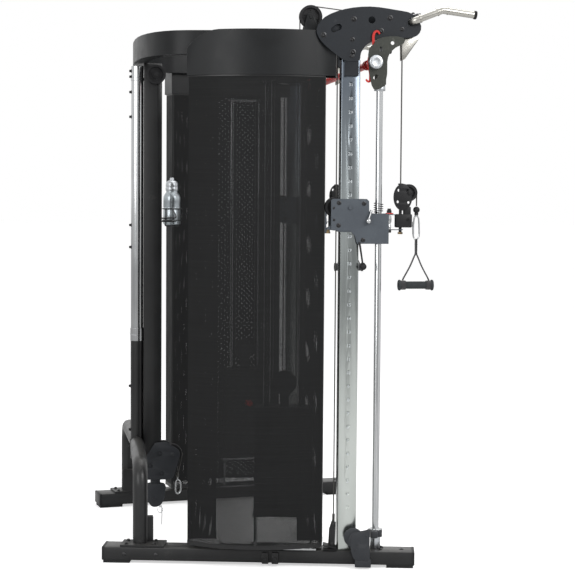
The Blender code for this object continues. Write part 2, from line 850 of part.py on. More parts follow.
def top_plates():
    """Outer and inner plates either side of the column, with the spacers that hold them."""
    outer_x = front_x + plate_outer_x
    inner_x = front_x - plate_inner_x
    bar_hole = circle((bar_station, bar_z), bar_radius + 5 * gap, 20)
    slot = hull_of_circles([(0.830, 1.994, 0.010), (0.848, 2.004, 0.012)], 12)
    round_hole = circle((0.972, 2.032), 0.013, 16)
    outer = slab("top_plates_right", [top_outline(0.0), bar_hole, slot, round_hole], top_plate_thickness,
                 side_matrix(outer_x), "blue_black")
    inner = slab("inner_plate", [top_outline(inner_plate_rear), bar_hole], top_plate_thickness,
                 side_matrix(inner_x))
    spacers = []
    for label, station, z in (("rear", 0.900, 1.960), ("middle", 0.926, 2.0475), ("front", 1.085, 2.000)):
        spacers.append(rod("spacer_" + label, at(inner_x - 0.002, station, z),
                           at(outer_x + 0.002, station, z), 0.010, sides=8))
    middle_x = (inner_x + outer_x) / 2
    spacers.append(box("rod_seat", at(middle_x, smith_rod_station, smith_rod_top + gap + 0.007),
                       (outer_x - inner_x, 0.040, 0.014)))
    shoe_x = column_width / 2 + gap
    shoe = box("column_shoe", at(front_x + (shoe_x + plate_outer_x) / 2, column_station, 1.870),
               (plate_outer_x - shoe_x, 0.052, 0.085))
    return combine(outer, spacers + [shoe, inner])


def pull_up_bar():
    """One bent tube across the machine, with a forward grip at each end."""
    half = [
        at(bar_grip_x, *bar_end),
        at(bar_grip_x, *bar_elbow),
        at(bar_grip_x, bar_station + 0.001, bar_z),
    ]
    points = half + [Vector((-p.x, p.y, p.z)) for p in reversed(half)]
    return tube("pull_up_bar", rounded(points, 0.020, 4), bar_radius, "chrome", 3)


# Carriage, swivel and handle

def carriage():
    """The sleeve on the column with two side plates that reach past the Smith rod to the swivel's lugs."""
    top = carriage_bottom + carriage_height
    outer = (column_width + 2 * (slide_gap + carriage_wall), column_depth + 2 * (slide_gap + carriage_wall),
             carriage_height - 0.054)
    centre = at(front_x, column_station, top - outer[2] / 2)
    sleeve = box("carriage_right", centre, outer, "slate_plate", bevel=0.002)
    arm_x = column_width / 2 + slide_gap + carriage_wall - 0.002
    low = carriage_bottom + 0.010
    high = carriage_bottom + arm_height
    rear = column_station - 0.071
    outline = [(rear, low + 0.055), (rear, top - 0.006), (rear + 0.006, top), (0.962, top),
               (0.970, top - 0.008),
               (0.971, high + 0.020), (0.984, high + 0.010), (arm_front, high + 0.010), (arm_front, low),
               (0.926, low), (0.918, low + 0.030), (0.900, low + 0.048), (rear + 0.006, low + 0.049)]
    arms = []
    for side in (-1, 1):
        arms.append(slab("arm_plate", [outline], 0.005, side_matrix(front_x + side * arm_x)))
    bridge_rear = smith_rod_station + smith_rod_radius + 0.004
    arms.append(box("arm_bridge", at(front_x, (arm_front + bridge_rear) / 2 - 0.001, 1.273),
                    (2 * arm_x, arm_front - bridge_rear - 0.002, 0.0935)))
    for z in lug_z:
        start = arm_front - 0.010
        arms.append(box("lug", at(front_x, (start + swivel_station) / 2, z), (2 * lug_half_width,
                        swivel_station - start, lug_thickness)))
        arms.append(rod("lug_end", at(front_x, swivel_station, z - lug_thickness / 2),
                        at(front_x, swivel_station, z + lug_thickness / 2), lug_half_width, sides=20))
    combine(sleeve, arms)
    opening = box("column_opening", centre, (column_width + 2 * slide_gap, column_depth + 2 * slide_gap,
                                             0.30))
    bore = rod("lug_bore", at(front_x, swivel_station, 1.20), at(front_x, swivel_station, 1.36),
               swivel_pin_radius + running_gap, sides=16)
    pin_bore = rod("pop_bore", pop_pin_at() - Vector((0.06, 0, 0)), pop_pin_at() + Vector((0.06, 0, 0)),
                   0.0060,
                   sides=12)
    return combine(sleeve, [opening, bore, pin_bore], "DIFFERENCE")


def pop_pin_at():
    """The height hole nearest the carriage's middle, at the column's outer face."""
    steps = round((last_hole_z - (carriage_bottom + 0.130)) / hole_pitch)
    return at(front_x + column_width / 2, column_station, last_hole_z - steps * hole_pitch)


def carriage_pop_pin():
    """The pin that locks the carriage in a hole, with its round pull."""
    start = pop_pin_at()
    face = slide_gap + carriage_wall + 0.0015
    pin = rod("carriage_pop_pin_right", start + Vector((slide_gap, 0, 0)),
              start + Vector((face + 0.020, 0, 0)),
              0.0052, "chrome", 12)
    knob = rod("pop_knob", start + Vector((face, 0, 0)), start + Vector((face + 0.030, 0, 0)), 0.013,
               sides=16,
               end_radius=0.015)
    return pivot(combine(pin, [knob]), start)


def swivel_pulley_at():
    return at(front_x, swivel_station + cable_reach(swivel_pulley_radius), swivel_pulley_z)


def swivel_bracket():
    """The pivot bolt through the lugs, the block between them and the cheeks of the swivelling pulley."""
    centre = swivel_pulley_at()
    low = lug_z[0] - lug_thickness / 2
    top = lug_z[1] + lug_thickness / 2
    bolt = rod("swivel_bracket_right", at(front_x, swivel_station, low - 0.006),
               at(front_x, swivel_station, top + 0.006), swivel_pin_radius, "satin_black", 16)
    parts = [
        rod("bolt_nut", at(front_x, swivel_station, low - 0.012), at(front_x, swivel_station, low - gap),
            0.010,
            sides=12),
        rod("bolt_head", at(front_x, swivel_station, top + gap), at(front_x, swivel_station, top + 0.006),
            0.010,
            sides=12),
    ]
    room = lug_thickness / 2 + gap
    front = swivel_station + 0.050
    parts.append(box("swivel_block", at(front_x, (swivel_station - 0.013 + front) / 2, sum(lug_z) / 2),
                     (0.025, front - swivel_station + 0.013, lug_z[1] - lug_z[0] - 2 * room)))
    rear = swivel_station + 0.017
    parts.append(box("swivel_neck", at(front_x, (rear + front - 0.002) / 2, 1.322),
                     (0.0254, front - 0.002 - rear, 0.060)))
    for side in (-1, 1):
        x = front_x + side * (pulley_width / 2 + 0.0035)
        outline = hull_of_circles([(centre_station(centre), centre.z, swivel_pulley_radius + 0.003),
                                   (swivel_station + 0.036, 1.318, 0.018)], 20)
        parts.append(slab("swivel_cheek", [outline], 0.004, side_matrix(x)))
    reach = Vector((pulley_width / 2 + 0.010, 0, 0))
    parts.append(rod("swivel_axle", centre - reach, centre + reach, axle_radius, sides=16))
    return pivot(combine(bolt, parts), at(front_x, swivel_station, sum(lug_z) / 2))


def centre_station(point):
    return rear_y - point.y


def swivel_pulley():
    centre = swivel_pulley_at()
    return pivot(pulley("swivel_pulley_right", centre, Vector((1, 0, 0)), swivel_pulley_radius, 0.020),
                 centre)


def carriage_cable():
    return rod("carriage_cable_right", at(front_x, swivel_station, swivel_pulley_z),
               at(front_x, swivel_station, 1.945),
               cable_radius, "steel_cable", 8)


def hang_station():
    return swivel_station + 2 * cable_reach(swivel_pulley_radius)


def handle_cable():
    return rod("handle_cable_right", at(front_x, hang_station(), 1.3503),
               at(front_x, hang_station(), swivel_pulley_z),
               cable_radius, "steel_cable", 8)


def handle_strap():
    """Snap hook, stop ball and the webbing triangle that holds the grip."""
    station = hang_station() + 0.004
    half = grip_length / 2 - 0.018
    stem = 0.0065
    leg = 0.0050
    split = strap_top - 0.056
    outline = [(station - stem, strap_top), (station - stem, split + 0.004), (station - half - leg, grip_z),
               (station - half + leg, grip_z), (station, split - 0.014), (station + half - leg, grip_z),
               (station + half + leg, grip_z), (station + stem, split + 0.004), (station + stem, strap_top)]
    strap = slab("handle_strap_right", [outline], 0.004, side_matrix(front_x), "webbing")
    hook_station = hang_station()
    parts = [
        rod("snap_hook", at(front_x, hook_station, strap_top - 0.012), at(front_x, hook_station, 1.335),
            0.008,
            sides=14),
        rod("stop_ball", at(front_x, hook_station, 1.325), at(front_x, hook_station, 1.350), 0.013, sides=16,
            end_radius=0.008),
    ]
    for side in (-1, 1):
        middle = station + side * half
        parts.append(rod("strap_loop", at(front_x, middle - 0.011, grip_z),
                         at(front_x, middle + 0.011, grip_z), 0.012,
                         sides=16))
    combine(strap, parts)
    bore = rod("grip_bore", at(front_x, station - 0.09, grip_z), at(front_x, station + 0.09, grip_z),
               core_radius + running_gap, sides=16)
    return pivot(combine(strap, [bore], "DIFFERENCE"), at(front_x, hook_station, 1.350))


def handle_grip():
    """The grip that turns in the strap's loops, with a disc at each end."""
    station = hang_station() + 0.004
    half = grip_length / 2
    inner = half - 0.036
    core = rod("handle_grip_right", at(front_x, station - half, grip_z), at(front_x, station + half, grip_z),
               core_radius, "rubber", 16)
    parts = [rod("grip_body", at(front_x, station - inner, grip_z), at(front_x, station + inner, grip_z),
                 grip_radius,
                 sides=20)]
    for side in (-1, 1):
        parts.append(rod("grip_disc", at(front_x, station + side * (half - 0.005), grip_z),
                         at(front_x, station + side * (half + 0.001), grip_z), end_disc_radius, sides=20))
    return pivot(combine(core, parts), at(front_x, station, grip_z))


# Smith carriages and bar

def smith_carriage():
    """A linear bearing on the rod, with the outer plate that the bar turns in."""
    top = housing_bottom + housing_height
    housing = rod("smith_carriage_right", at(front_x, smith_rod_station, housing_bottom),
                  at(front_x, smith_rod_station, top), housing_radius, "olive_grey", 24)
    plate_x = front_x + smith_plate_x
    spots = [(0.960, 1.926), (0.978, 1.944), (0.990, 1.962), (1.040, 1.973), (1.088, 1.968), (1.089, 1.948),
             (1.058, 1.931), (1.036, 1.908), (1.028, 1.880), (1.028, 1.835), (1.018, 1.795), (1.000, 1.780),
             (0.978, 1.780), (0.966, 1.812), (0.957, 1.878)]
    holes = [hull_of_circles([(1.004, 1.919, 0.004), (1.004, 1.931, 0.004)], 8),
             circle((1.047, 1.948), 0.007, 12),
             hull_of_circles([(0.982, 1.820, 0.006), (0.988, 1.827, 0.006)], 10),
             circle((smith_bar_station, smith_bar_z), smith_bar_radius + end_sleeve + 2 * gap, 24)]
    plate = slab("smith_plate", [smooth_loop(spots, 2)] + holes, smith_plate_thickness,
                 side_matrix(plate_x + smith_plate_thickness / 2))
    arm = box("smith_arm", at(front_x + (smith_plate_x + 0.018) / 2, smith_rod_station,
                              housing_bottom + 0.026),
              (smith_plate_x - 0.016, 0.026, 0.044))
    combine(housing, [plate, arm])
    bore = rod("bearing_bore", at(front_x, smith_rod_station, 1.70), at(front_x, smith_rod_station, 2.0),
               smith_rod_radius + slide_gap, sides=24)
    return combine(housing, [bore], "DIFFERENCE")


def smith_bar():
    """The plain bar across the bay, from end fitting to end fitting."""
    end = front_x + smith_plate_x + smith_plate_thickness
    bar = rod("smith_bar", at(-end, smith_bar_station, smith_bar_z), at(end, smith_bar_station, smith_bar_z),
              smith_bar_radius, "red_paint", 24)
    return pivot(bar, at(0, smith_bar_station, smith_bar_z))


def smith_end():
    """The fitting on the bar's end: a catch hook on a ring, and the disc outside the plate."""
    face = front_x + smith_plate_x + smith_plate_thickness
    bore = smith_bar_radius + gap
    spots = [(0.950, 1.8135), (0.958, 1.806), (0.966, 1.809), (0.9665, 1.835), (0.9625, 1.858),
             (0.9600, 1.877), (0.9625, 1.896), (0.9720, 1.915), (0.9785, 1.938), (0.977, 1.972),
             (0.981, 1.987), (0.988, 1.993), (0.997, 1.990), (1.002, 1.980)]
    x = front_x + hook_x
    hook = tube("smith_end_right", [at(x, u, v) for u, v in spots], hook_radius, "red_paint", resolution=1)
    centre = at(0, smith_bar_station, smith_bar_z)
    ring_radius = smith_bar_radius + hook_ring
    ring = [(bore, -hook_radius), (ring_radius, -hook_radius), (ring_radius, hook_radius),
            (bore, hook_radius)]
    disc = [(bore, 0.0), (bearing_disc_radius, 0.0), (bearing_disc_radius, disc_depth), (bore, disc_depth)]
    reach = face - x + 0.004
    outer = smith_bar_radius + end_sleeve
    sleeve = [(bore, 0.0), (outer, 0.0), (outer, reach), (bore, reach)]
    extras = []
    for label, profile, start in (("hook_ring", ring, x), ("end_disc", disc, face + gap),
                                  ("end_tube", sleeve, x)):
        extras.append(turned(label, profile, centre + Vector((start, 0, 0)), Vector((1, 0, 0)), None, 24))
    return pivot(combine(hook, extras), centre)


# Bottle and holder

def bottle_holder():
    """A wire ring and tray on an arm from the rear column."""
    ring_z = bottle_bottom + 0.070
    centre = at(bottle_x, bottle_station, 0)
    inner = bottle_radius + 0.0012
    tray_profile = [(inner, 0.0), (inner + 0.004, 0.0), (inner + 0.004, 0.012), (inner, 0.012)]
    ring = turned("bottle_holder", tray_profile, centre + Vector((0, 0, ring_z)), Vector((0, 0, 1)),
                  "black_paint", 20)
    floor = rod("holder_floor", centre + Vector((0, 0, bottle_bottom - 0.006)),
                centre + Vector((0, 0, bottle_bottom - gap)), inner + 0.004, sides=20)
    reach = bottle_radius + 0.0035
    strut = box("holder_strut", centre + Vector((-reach - 0.002, 0, bottle_bottom + 0.036)),
                (0.005, 0.016, 0.088))
    x_start = column_width / 2 + gap
    x_end = bottle_x - reach
    arm = box("holder_arm", at((x_start + x_end) / 2, bottle_station, bottle_bottom + 0.020),
              (x_end - x_start, 0.006, 0.024))
    pad_rear = rear_column_station() - 0.022
    pad_front = bottle_station + 0.003
    pad = box("holder_pad", at(x_start + 0.003, (pad_rear + pad_front) / 2, bottle_bottom + 0.020),
              (0.006, pad_front - pad_rear, 0.024))
    return combine(ring, [floor, strut, arm, pad])


def bottle():
    radius = bottle_radius
    low = bottle_bottom
    profile = [
        (0.0001, low), (radius - 0.003, low), (radius, low + 0.004), (radius, low + 0.115),
        (radius * 0.86, low + 0.135), (radius * 0.52, low + 0.148), (radius * 0.50, low + 0.158),
        (radius * 0.62, low + 0.160), (radius * 0.62, low + 0.180), (radius * 0.30, low + 0.186),
        (radius * 0.26, low + 0.200), (0.0001, low + 0.202),
    ]
    centre = at(bottle_x, bottle_station, 0)
    flask = turned("bottle", profile, centre, Vector((0, 0, 1)), "bottle_metal", 20)
    return pivot(flask, centre + Vector((0, 0, low)))


clear_scene()
pieces = new_collection("cable_crossover_machine")
helpers = new_collection("cutters")
helpers.hide_render = True

right_side = [
    base_rail, rear_leg, tower_cap, mesh_shroud, stack_guides, resting_plates, lifted_plates, selector_pin,
    stack_pulley, front_column, smith_guide_rod, top_plates, top_pulley, carriage, carriage_pop_pin,
    swivel_bracket, swivel_pulley, handle_strap, handle_grip, smith_carriage, smith_end, low_pulleys,
    carriage_cable,    stack_cable, handle_cable,
]
for make in right_side:
    mirrored(make())

for make in (rear_column, rear_pole, rear_fascia, rear_low_plates, rear_low_pulley,
             rear_high_pulley, pull_up_bar, smith_bar, bottle_holder, bottle):
    make()
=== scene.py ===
import json
import math

import bmesh
import bpy
from mathutils import Matrix, Vector


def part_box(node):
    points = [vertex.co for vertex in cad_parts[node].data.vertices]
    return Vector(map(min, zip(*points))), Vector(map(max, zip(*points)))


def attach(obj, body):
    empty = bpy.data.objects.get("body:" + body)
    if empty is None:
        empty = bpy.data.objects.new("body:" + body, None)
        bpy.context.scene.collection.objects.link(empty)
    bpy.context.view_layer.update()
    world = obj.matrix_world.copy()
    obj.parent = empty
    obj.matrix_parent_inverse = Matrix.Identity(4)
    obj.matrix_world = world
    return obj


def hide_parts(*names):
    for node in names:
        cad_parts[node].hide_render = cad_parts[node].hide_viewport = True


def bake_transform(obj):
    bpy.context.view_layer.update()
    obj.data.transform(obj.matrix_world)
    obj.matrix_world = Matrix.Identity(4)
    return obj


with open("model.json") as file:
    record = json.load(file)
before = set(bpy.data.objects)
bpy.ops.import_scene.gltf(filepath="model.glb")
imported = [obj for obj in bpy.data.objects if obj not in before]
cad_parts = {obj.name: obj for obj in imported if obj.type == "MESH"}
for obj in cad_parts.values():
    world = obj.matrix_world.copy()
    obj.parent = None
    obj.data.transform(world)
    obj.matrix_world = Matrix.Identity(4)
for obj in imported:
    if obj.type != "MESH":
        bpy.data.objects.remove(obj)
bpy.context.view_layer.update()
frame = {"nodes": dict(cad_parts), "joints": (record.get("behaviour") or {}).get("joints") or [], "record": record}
print("frame loaded")

sides = (("left", -1), ("right", 1))


# Places, read from the frame

def middleOf(node):
    low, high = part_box(node)
    return (Vector(low) + Vector(high)) / 2


jointSpot = {joint["name"]: Vector(joint["pos_m"]) for joint in frame["joints"] if "pos_m" in joint}
poleStation = 0.150
backY = middleOf("rear_pole").y + poleStation
frontX = middleOf("front_column_right").x
rail = {"rearX": 0.528, "angle": math.radians(11.0), "length": 1.176, "width": 0.100, "top": 0.062,
        "foot": 0.012}


def at(x, station, z):
    # station runs forward from the back of the machine
    return Vector((x, backY - station, z))


def onRail(along, across, z):
    turn = rail["angle"]
    x = rail["rearX"] + along * math.sin(turn) + across * math.cos(turn)
    return at(x, along * math.cos(turn) - across * math.sin(turn), z)


railAlong = (onRail(1, 0, 0) - onRail(0, 0, 0)).normalized()
railAcross = (onRail(0, 1, 0) - onRail(0, 0, 0)).normalized()


# Shape tools

def smoothPath(points, steps=4, loop=False):
    points = [Vector(p) for p in points]
    count = len(points)
    path = []
    for i in range(count if loop else count - 1):
        if loop:
            p0, p1, p2, p3 = (points[(i + k) % count] for k in (-1, 0, 1, 2))
        else:
            p0, p1, p2, p3 = (points[min(max(i + k, 0), count - 1)] for k in (-1, 0, 1, 2))
        for step in range(steps):
            t = step / steps
            path.append(0.5 * (2 * p1 + (p2 - p0) * t + (2 * p0 - 5 * p1 + 4 * p2 - p3) * t ** 2
                               + (3 * p1 - p0 - 3 * p2 + p3) * t ** 3))
    if not loop:
        path.append(points[-1])
    return path


def addTube(bm, points, radius, sideCount=12, endRadius=None, loop=False):
    points = [Vector(p) for p in points]
    last = len(points) - 1
    normal = (points[1] - points[0]).orthogonal().normalized()
    rings = []
    for i, point in enumerate(points):
        if loop:
            tangent = (points[(i + 1) % len(points)] - points[i - 1]).normalized()
        else:
            tangent = (points[min(i + 1, last)] - points[max(i - 1, 0)]).normalized()
        normal = (normal - tangent * normal.dot(tangent)).normalized()
        across = tangent.cross(normal)
        reach = radius if endRadius is None else radius + (endRadius - radius) * i / last
        rings.append([
            bm.verts.new(point + (normal * math.cos(math.tau * k / sideCount)
                                  + across * math.sin(math.tau * k / sideCount)) * reach)
            for k in range(sideCount)
        ])
    pairs = list(zip(rings, rings[1:]))
    if loop:
        pairs.append((rings[-1], rings[0]))
    for low, high in pairs:
        for k in range(sideCount):
            following = (k + 1) % sideCount
            bm.faces.new((low[k], low[following], high[following], high[k]))
    if not loop:
        bm.faces.new(list(reversed(rings[0])))
        bm.faces.new(rings[-1])


def addTurned(bm, profile, centre, axis, steps=32, ring=False):
    # profile holds (radius, offset) pairs; a ring profile closes on itself and leaves a bore
    spin = Vector(axis).to_track_quat("Z", "Y").to_matrix().to_4x4()
    matrix = Matrix.Translation(centre) @ spin
    columns = []
    for step in range(steps):
        angle = math.tau * step / steps
        columns.append([
            bm.verts.new(matrix @ Vector((r * math.cos(angle), r * math.sin(angle), offset)))
            for r, offset in profile
        ])
    count = len(profile)
    for step, column in enumerate(columns):
        following = columns[(step + 1) % steps]
        for i in range(count if ring else count - 1):
            j = (i + 1) % count
            bm.faces.new((column[i], following[i], following[j], column[j]))
    if not ring:
        bm.faces.new([column[0] for column in reversed(columns)])
        bm.faces.new([column[-1] for column in columns])


def addBox(bm, centre, size, matrix=None, bevel=0.001):
    made = bmesh.ops.create_cube(bm, size=1.0)
    verts = made["verts"]
    bmesh.ops.scale(bm, vec=size, verts=verts)
    if matrix is not None:
        bmesh.ops.transform(bm, matrix=matrix, verts=verts)
    bmesh.ops.translate(bm, vec=centre, verts=verts)
    if bevel:
        edges = list({edge for vert in verts for edge in vert.link_edges})
        bmesh.ops.bevel(bm, geom=edges, offset=bevel, segments=2, profile=0.5, affect="EDGES")


def sideMatrix(x):
    return Matrix(((0, 0, 1, x), (-1, 0, 0, backY), (0, 1, 0, 0), (0, 0, 0, 1)))


railTurn = Matrix((
    (railAlong.x, railAcross.x, 0, 0), (railAlong.y, railAcross.y, 0, 0), (0, 0, 1, 0), (0, 0, 0, 1)
))


def addPlate(bm, outlines, thickness, matrix, bevel=0.0008):
    # flat sheet metal with a softened edge: the first outline is the outside, the rest are holes
    curve = bpy.data.curves.new("plateOutline", "CURVE")
    curve.dimensions = "2D"
    curve.fill_mode = "BOTH"
    curve.extrude = thickness / 2 - bevel
    curve.bevel_depth = bevel
    curve.bevel_resolution = 1
    curve.offset = -bevel
    for outline in outlines:
        spline = curve.splines.new("POLY")
        spline.points.add(len(outline) - 1)
        for point, spot in zip(spline.points, outline):
            point.co = (spot[0], spot[1], 0.0, 1.0)
        spline.use_cyclic_u = True
    guide = bpy.data.objects.new("plateOutline", curve)
    bpy.context.scene.collection.objects.link(guide)
    graph = bpy.context.evaluated_depsgraph_get()
    mesh = bpy.data.meshes.new_from_object(guide.evaluated_get(graph))
    mesh.transform(matrix)
    bm.from_mesh(mesh)
    bmesh.ops.remove_doubles(bm, verts=bm.verts, dist=0.00001)
    bpy.data.objects.remove(guide)
    bpy.data.curves.remove(curve)
    bpy.data.meshes.remove(mesh)


def circle(station, z, radius, count=20):
    return [(station + radius * math.cos(math.tau * k / count), z + radius * math.sin(math.tau * k / count))
            for k in range(count)]


def addBolt(bm, spot, axis, radius=0.0065, height=0.005, kind="hex"):
    # washer, then a hex head or a button head with its socket
    axis = Vector(axis).normalized()
    addTurned(bm, [(radius * 0.2, 0.0), (radius * 1.45, 0.0), (radius * 1.45, 0.0010),
                   (radius * 1.35, 0.0014),
                   (radius * 0.2, 0.0014)], spot, axis, 20)
    start = Vector(spot) + axis * 0.0012
    if kind == "hex":
        addTurned(bm, [(radius * 0.3, 0.0), (radius, 0.0), (radius, height * 0.8), (radius * 0.86, height),
                       (radius * 0.3, height)], start, axis, 6)
    else:
        addTurned(bm, [(radius * 0.4, 0.0), (radius, 0.0), (radius, height * 0.3),
                       (radius * 0.85, height * 0.75),
                       (radius * 0.5, height), (radius * 0.45, height * 0.98), (radius * 0.42, height * 0.3),
                       (radius * 0.1, height * 0.3)], start, axis, 18)


def newObject(name, bm, material, smooth=38):
    mesh = bpy.data.meshes.new(name)
    bm.to_mesh(mesh)
    mesh.shade_smooth()
    mesh.set_sharp_from_angle(angle=math.radians(smooth))
    mesh.materials.append(material)
    piece = bpy.data.objects.new(name, mesh)
    bpy.context.scene.collection.objects.link(piece)
    return piece


def addPiece(name, bm, material, body, replaced=(), smooth=38):
    bmesh.ops.recalc_face_normals(bm, faces=bm.faces)
    piece = newObject(name, bm, material, smooth)
    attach(piece, body)
    if replaced:
        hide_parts(*replaced)
    return piece


def mirroredCopy(bm):
    copy = bm.copy()
    bmesh.ops.scale(copy, vec=(-1, 1, 1), verts=copy.verts)
    bmesh.ops.reverse_faces(copy, faces=copy.faces)
    return copy


def addPair(name, bm, material, body, replaced="", smooth=38, blend=None):
    # the shape is made for the +X side, and its twin is the mirror of it
    bmesh.ops.recalc_face_normals(bm, faces=bm.faces)
    for side, sign in sides:
        copy = bm.copy() if sign > 0 else mirroredCopy(bm)
        piece = newObject(f"{name}_{side}", copy, material, smooth)
        copy.free()
        if blend:
            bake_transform(piece)
        else:
            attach(piece, body.replace("SIDE", side))
        if replaced:
            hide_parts(replaced.replace("SIDE", side))
    bm.free()


# Shader effects shared by several materials

def makeGroup(name, inputs, outputs):
    tree = bpy.data.node_groups.new(name, "ShaderNodeTree")
    for label, kind, value in inputs:
        socket = tree.interface.new_socket(name=label, in_out="INPUT", socket_type=kind)
        if value is not None:
            socket.default_value = value
    for label, kind in outputs:
        tree.interface.new_socket(name=label, in_out="OUTPUT", socket_type=kind)
    return tree, tree.nodes.new("NodeGroupInput").outputs, tree.nodes.new("NodeGroupOutput").inputs


def addNode(tree, kind, inputs=None, **settings):
    node = tree.nodes.new(kind)
    for label, value in settings.items():
        setattr(node, label, value)
    for label, value in (inputs or {}).items():
        if isinstance(value, bpy.types.NodeSocket):
            tree.links.new(value, node.inputs[label])
        else:
            node.inputs[label].default_value = value
    return node


def addMath(tree, operation, first, second=0.0, third=0.0):
    return addNode(tree, "ShaderNodeMath", {0: first, 1: second, 2: third}, operation=operation).outputs[0]


def addNoise(tree, vector, scale, detail=2.0, roughness=0.5):
    return addNode(tree, "ShaderNodeTexNoise", {"Vector": vector, "Scale": scale, "Detail": detail,
                                                "Roughness": roughness}).outputs["Fac"]


def addRange(tree, value, low, high, toLow, toHigh):
    return addNode(tree, "ShaderNodeMapRange", {0: value, 1: low, 2: high, 3: toLow, 4: toHigh}).outputs[0]


def addMix(tree, factor, first, second):
    node = tree.nodes.new("ShaderNodeMix")
    node.data_type = "RGBA"
    for socket, value in ((node.inputs[0], factor), (node.inputs[6], first), (node.inputs[7], second)):
        if isinstance(value, bpy.types.NodeSocket):
            tree.links.new(value, socket)
        elif isinstance(value, (int, float)):
            socket.default_value = value
        else:
            socket.default_value = (*value, 1.0)
    return node.outputs[2]


vectorKind, floatKind = "NodeSocketVector", "NodeSocketFloat"

# powder coat: a fine orange-peel height and a slow change of tone
coatGrain, groupIn, groupOut = makeGroup(
    "coatGrain", [("Vector", vectorKind, None), ("Grain Scale", floatKind, 900.0)],
    [("Height", floatKind), ("Tone", floatKind)])
fine = addNoise(coatGrain, groupIn["Vector"], groupIn["Grain Scale"], 3.0, 0.6)
slowScale = addMath(coatGrain, "MULTIPLY", groupIn["Grain Scale"], 0.012)
slow = addNoise(coatGrain, groupIn["Vector"], slowScale, 4.0, 0.55)
speck = addNoise(coatGrain, groupIn["Vector"], addMath(coatGrain, "MULTIPLY", groupIn["Grain Scale"], 0.4),
                 1.0)
toned = addMath(coatGrain, "MULTIPLY_ADD", addRange(coatGrain, speck, 0.3, 0.7, -0.5, 0.5), 0.35, slow)
coatGrain.links.new(fine, groupOut["Height"])
coatGrain.links.new(addRange(coatGrain, toned, 0.25, 0.75, 0.0, 1.0), groupOut["Tone"])

# rubbed spots and short scratches from use
rubMarks, groupIn, groupOut = makeGroup(
    "rubMarks", [("Vector", vectorKind, None), ("Mark Scale", floatKind, 14.0), ("Amount", floatKind, 0.3)],
    [("Mask", floatKind)])
patches = addNoise(rubMarks, groupIn["Vector"], groupIn["Mark Scale"], 5.0, 0.7)
stretched = addNode(rubMarks, "ShaderNodeMapping", {"Vector": groupIn["Vector"], "Scale": (9.0, 9.0, 1.4),
                                                     "Rotation": (0.3, 0.2, 0.5)}).outputs[0]
scratches = addNoise(rubMarks, stretched, addMath(rubMarks, "MULTIPLY", groupIn["Mark Scale"], 6.0), 2.0,
                     0.5)
edge = addMath(rubMarks, "MULTIPLY_ADD", groupIn["Amount"], -0.22, 0.72)
spotMask = addMath(rubMarks, "GREATER_THAN", patches, edge)
lineMask = addMath(rubMarks, "GREATER_THAN", scratches, edge)
both = addMath(rubMarks, "MULTIPLY_ADD", lineMask, 0.5, addMath(rubMarks, "MULTIPLY", spotMask, 0.6))
rubMarks.links.new(addMath(rubMarks, "MULTIPLY", both, groupIn["Amount"]), groupOut["Mask"])

# dust that lies where a surface faces up
dustFilm, groupIn, groupOut = makeGroup(
    "dustFilm", [("Vector", vectorKind, None), ("Amount", floatKind, 0.3)], [("Mask", floatKind)])
facing = addNode(dustFilm, "ShaderNodeSeparateXYZ",
                 {0: addNode(dustFilm, "ShaderNodeNewGeometry").outputs["Normal"]}).outputs["Z"]
cloud = addRange(dustFilm, addNoise(dustFilm, groupIn["Vector"], 38.0, 6.0, 0.65), 0.35, 0.7, 0.2, 1.0)
lying = addMath(dustFilm, "MULTIPLY", addRange(dustFilm, facing, 0.55, 1.0, 0.0, 1.0), cloud)
dustFilm.links.new(addMath(dustFilm, "MULTIPLY", lying, groupIn["Amount"]), groupOut["Mask"])

# polish lines that run along the drawn metal; on the chrome their darker streaks in the colour are also painted
# reflection
polishAndReflectionLines, groupIn, groupOut = makeGroup(
    "polishAndReflectionLines", [("Vector", vectorKind, None), ("Squeeze", vectorKind, (1.0, 1.0, 0.02)),
                    ("Line Scale", floatKind, 700.0)], [("Lines", floatKind), ("Haze", floatKind)])
squeezed = addNode(polishAndReflectionLines, "ShaderNodeVectorMath", {0: groupIn["Vector"], 1: groupIn["Squeeze"]},
                   operation="MULTIPLY").outputs[0]
polishAndReflectionLines.links.new(addNoise(polishAndReflectionLines, squeezed, groupIn["Line Scale"], 2.0, 0.6), groupOut["Lines"])
polishAndReflectionLines.links.new(addNoise(polishAndReflectionLines, groupIn["Vector"], 9.0, 5.0, 0.6), groupOut["Haze"])

# woven threads, over and under, from a flat layout
weave, groupIn, groupOut = makeGroup(
    "weave", [("Vector", vectorKind, None), ("Pitch", floatKind, 0.002)],
    [("Height", floatKind), ("Thread", floatKind)])
parts = addNode(weave, "ShaderNodeSeparateXYZ", {0: groupIn["Vector"]}).outputs
cellU = addMath(weave, "DIVIDE", parts["X"], groupIn["Pitch"])
cellV = addMath(weave, "DIVIDE", parts["Y"], groupIn["Pitch"])
waveU = addMath(weave, "SINE", addMath(weave, "MULTIPLY", cellU, math.pi))
waveV = addMath(weave, "SINE", addMath(weave, "MULTIPLY", cellV, math.pi))
checker = addMath(weave, "MULTIPLY", waveU, waveV)
weave.links.new(addMath(weave, "ABSOLUTE", checker), groupOut["Height"])
weave.links.new(addRange(weave, checker, -1.0, 1.0, 0.0, 1.0), groupOut["Thread"])

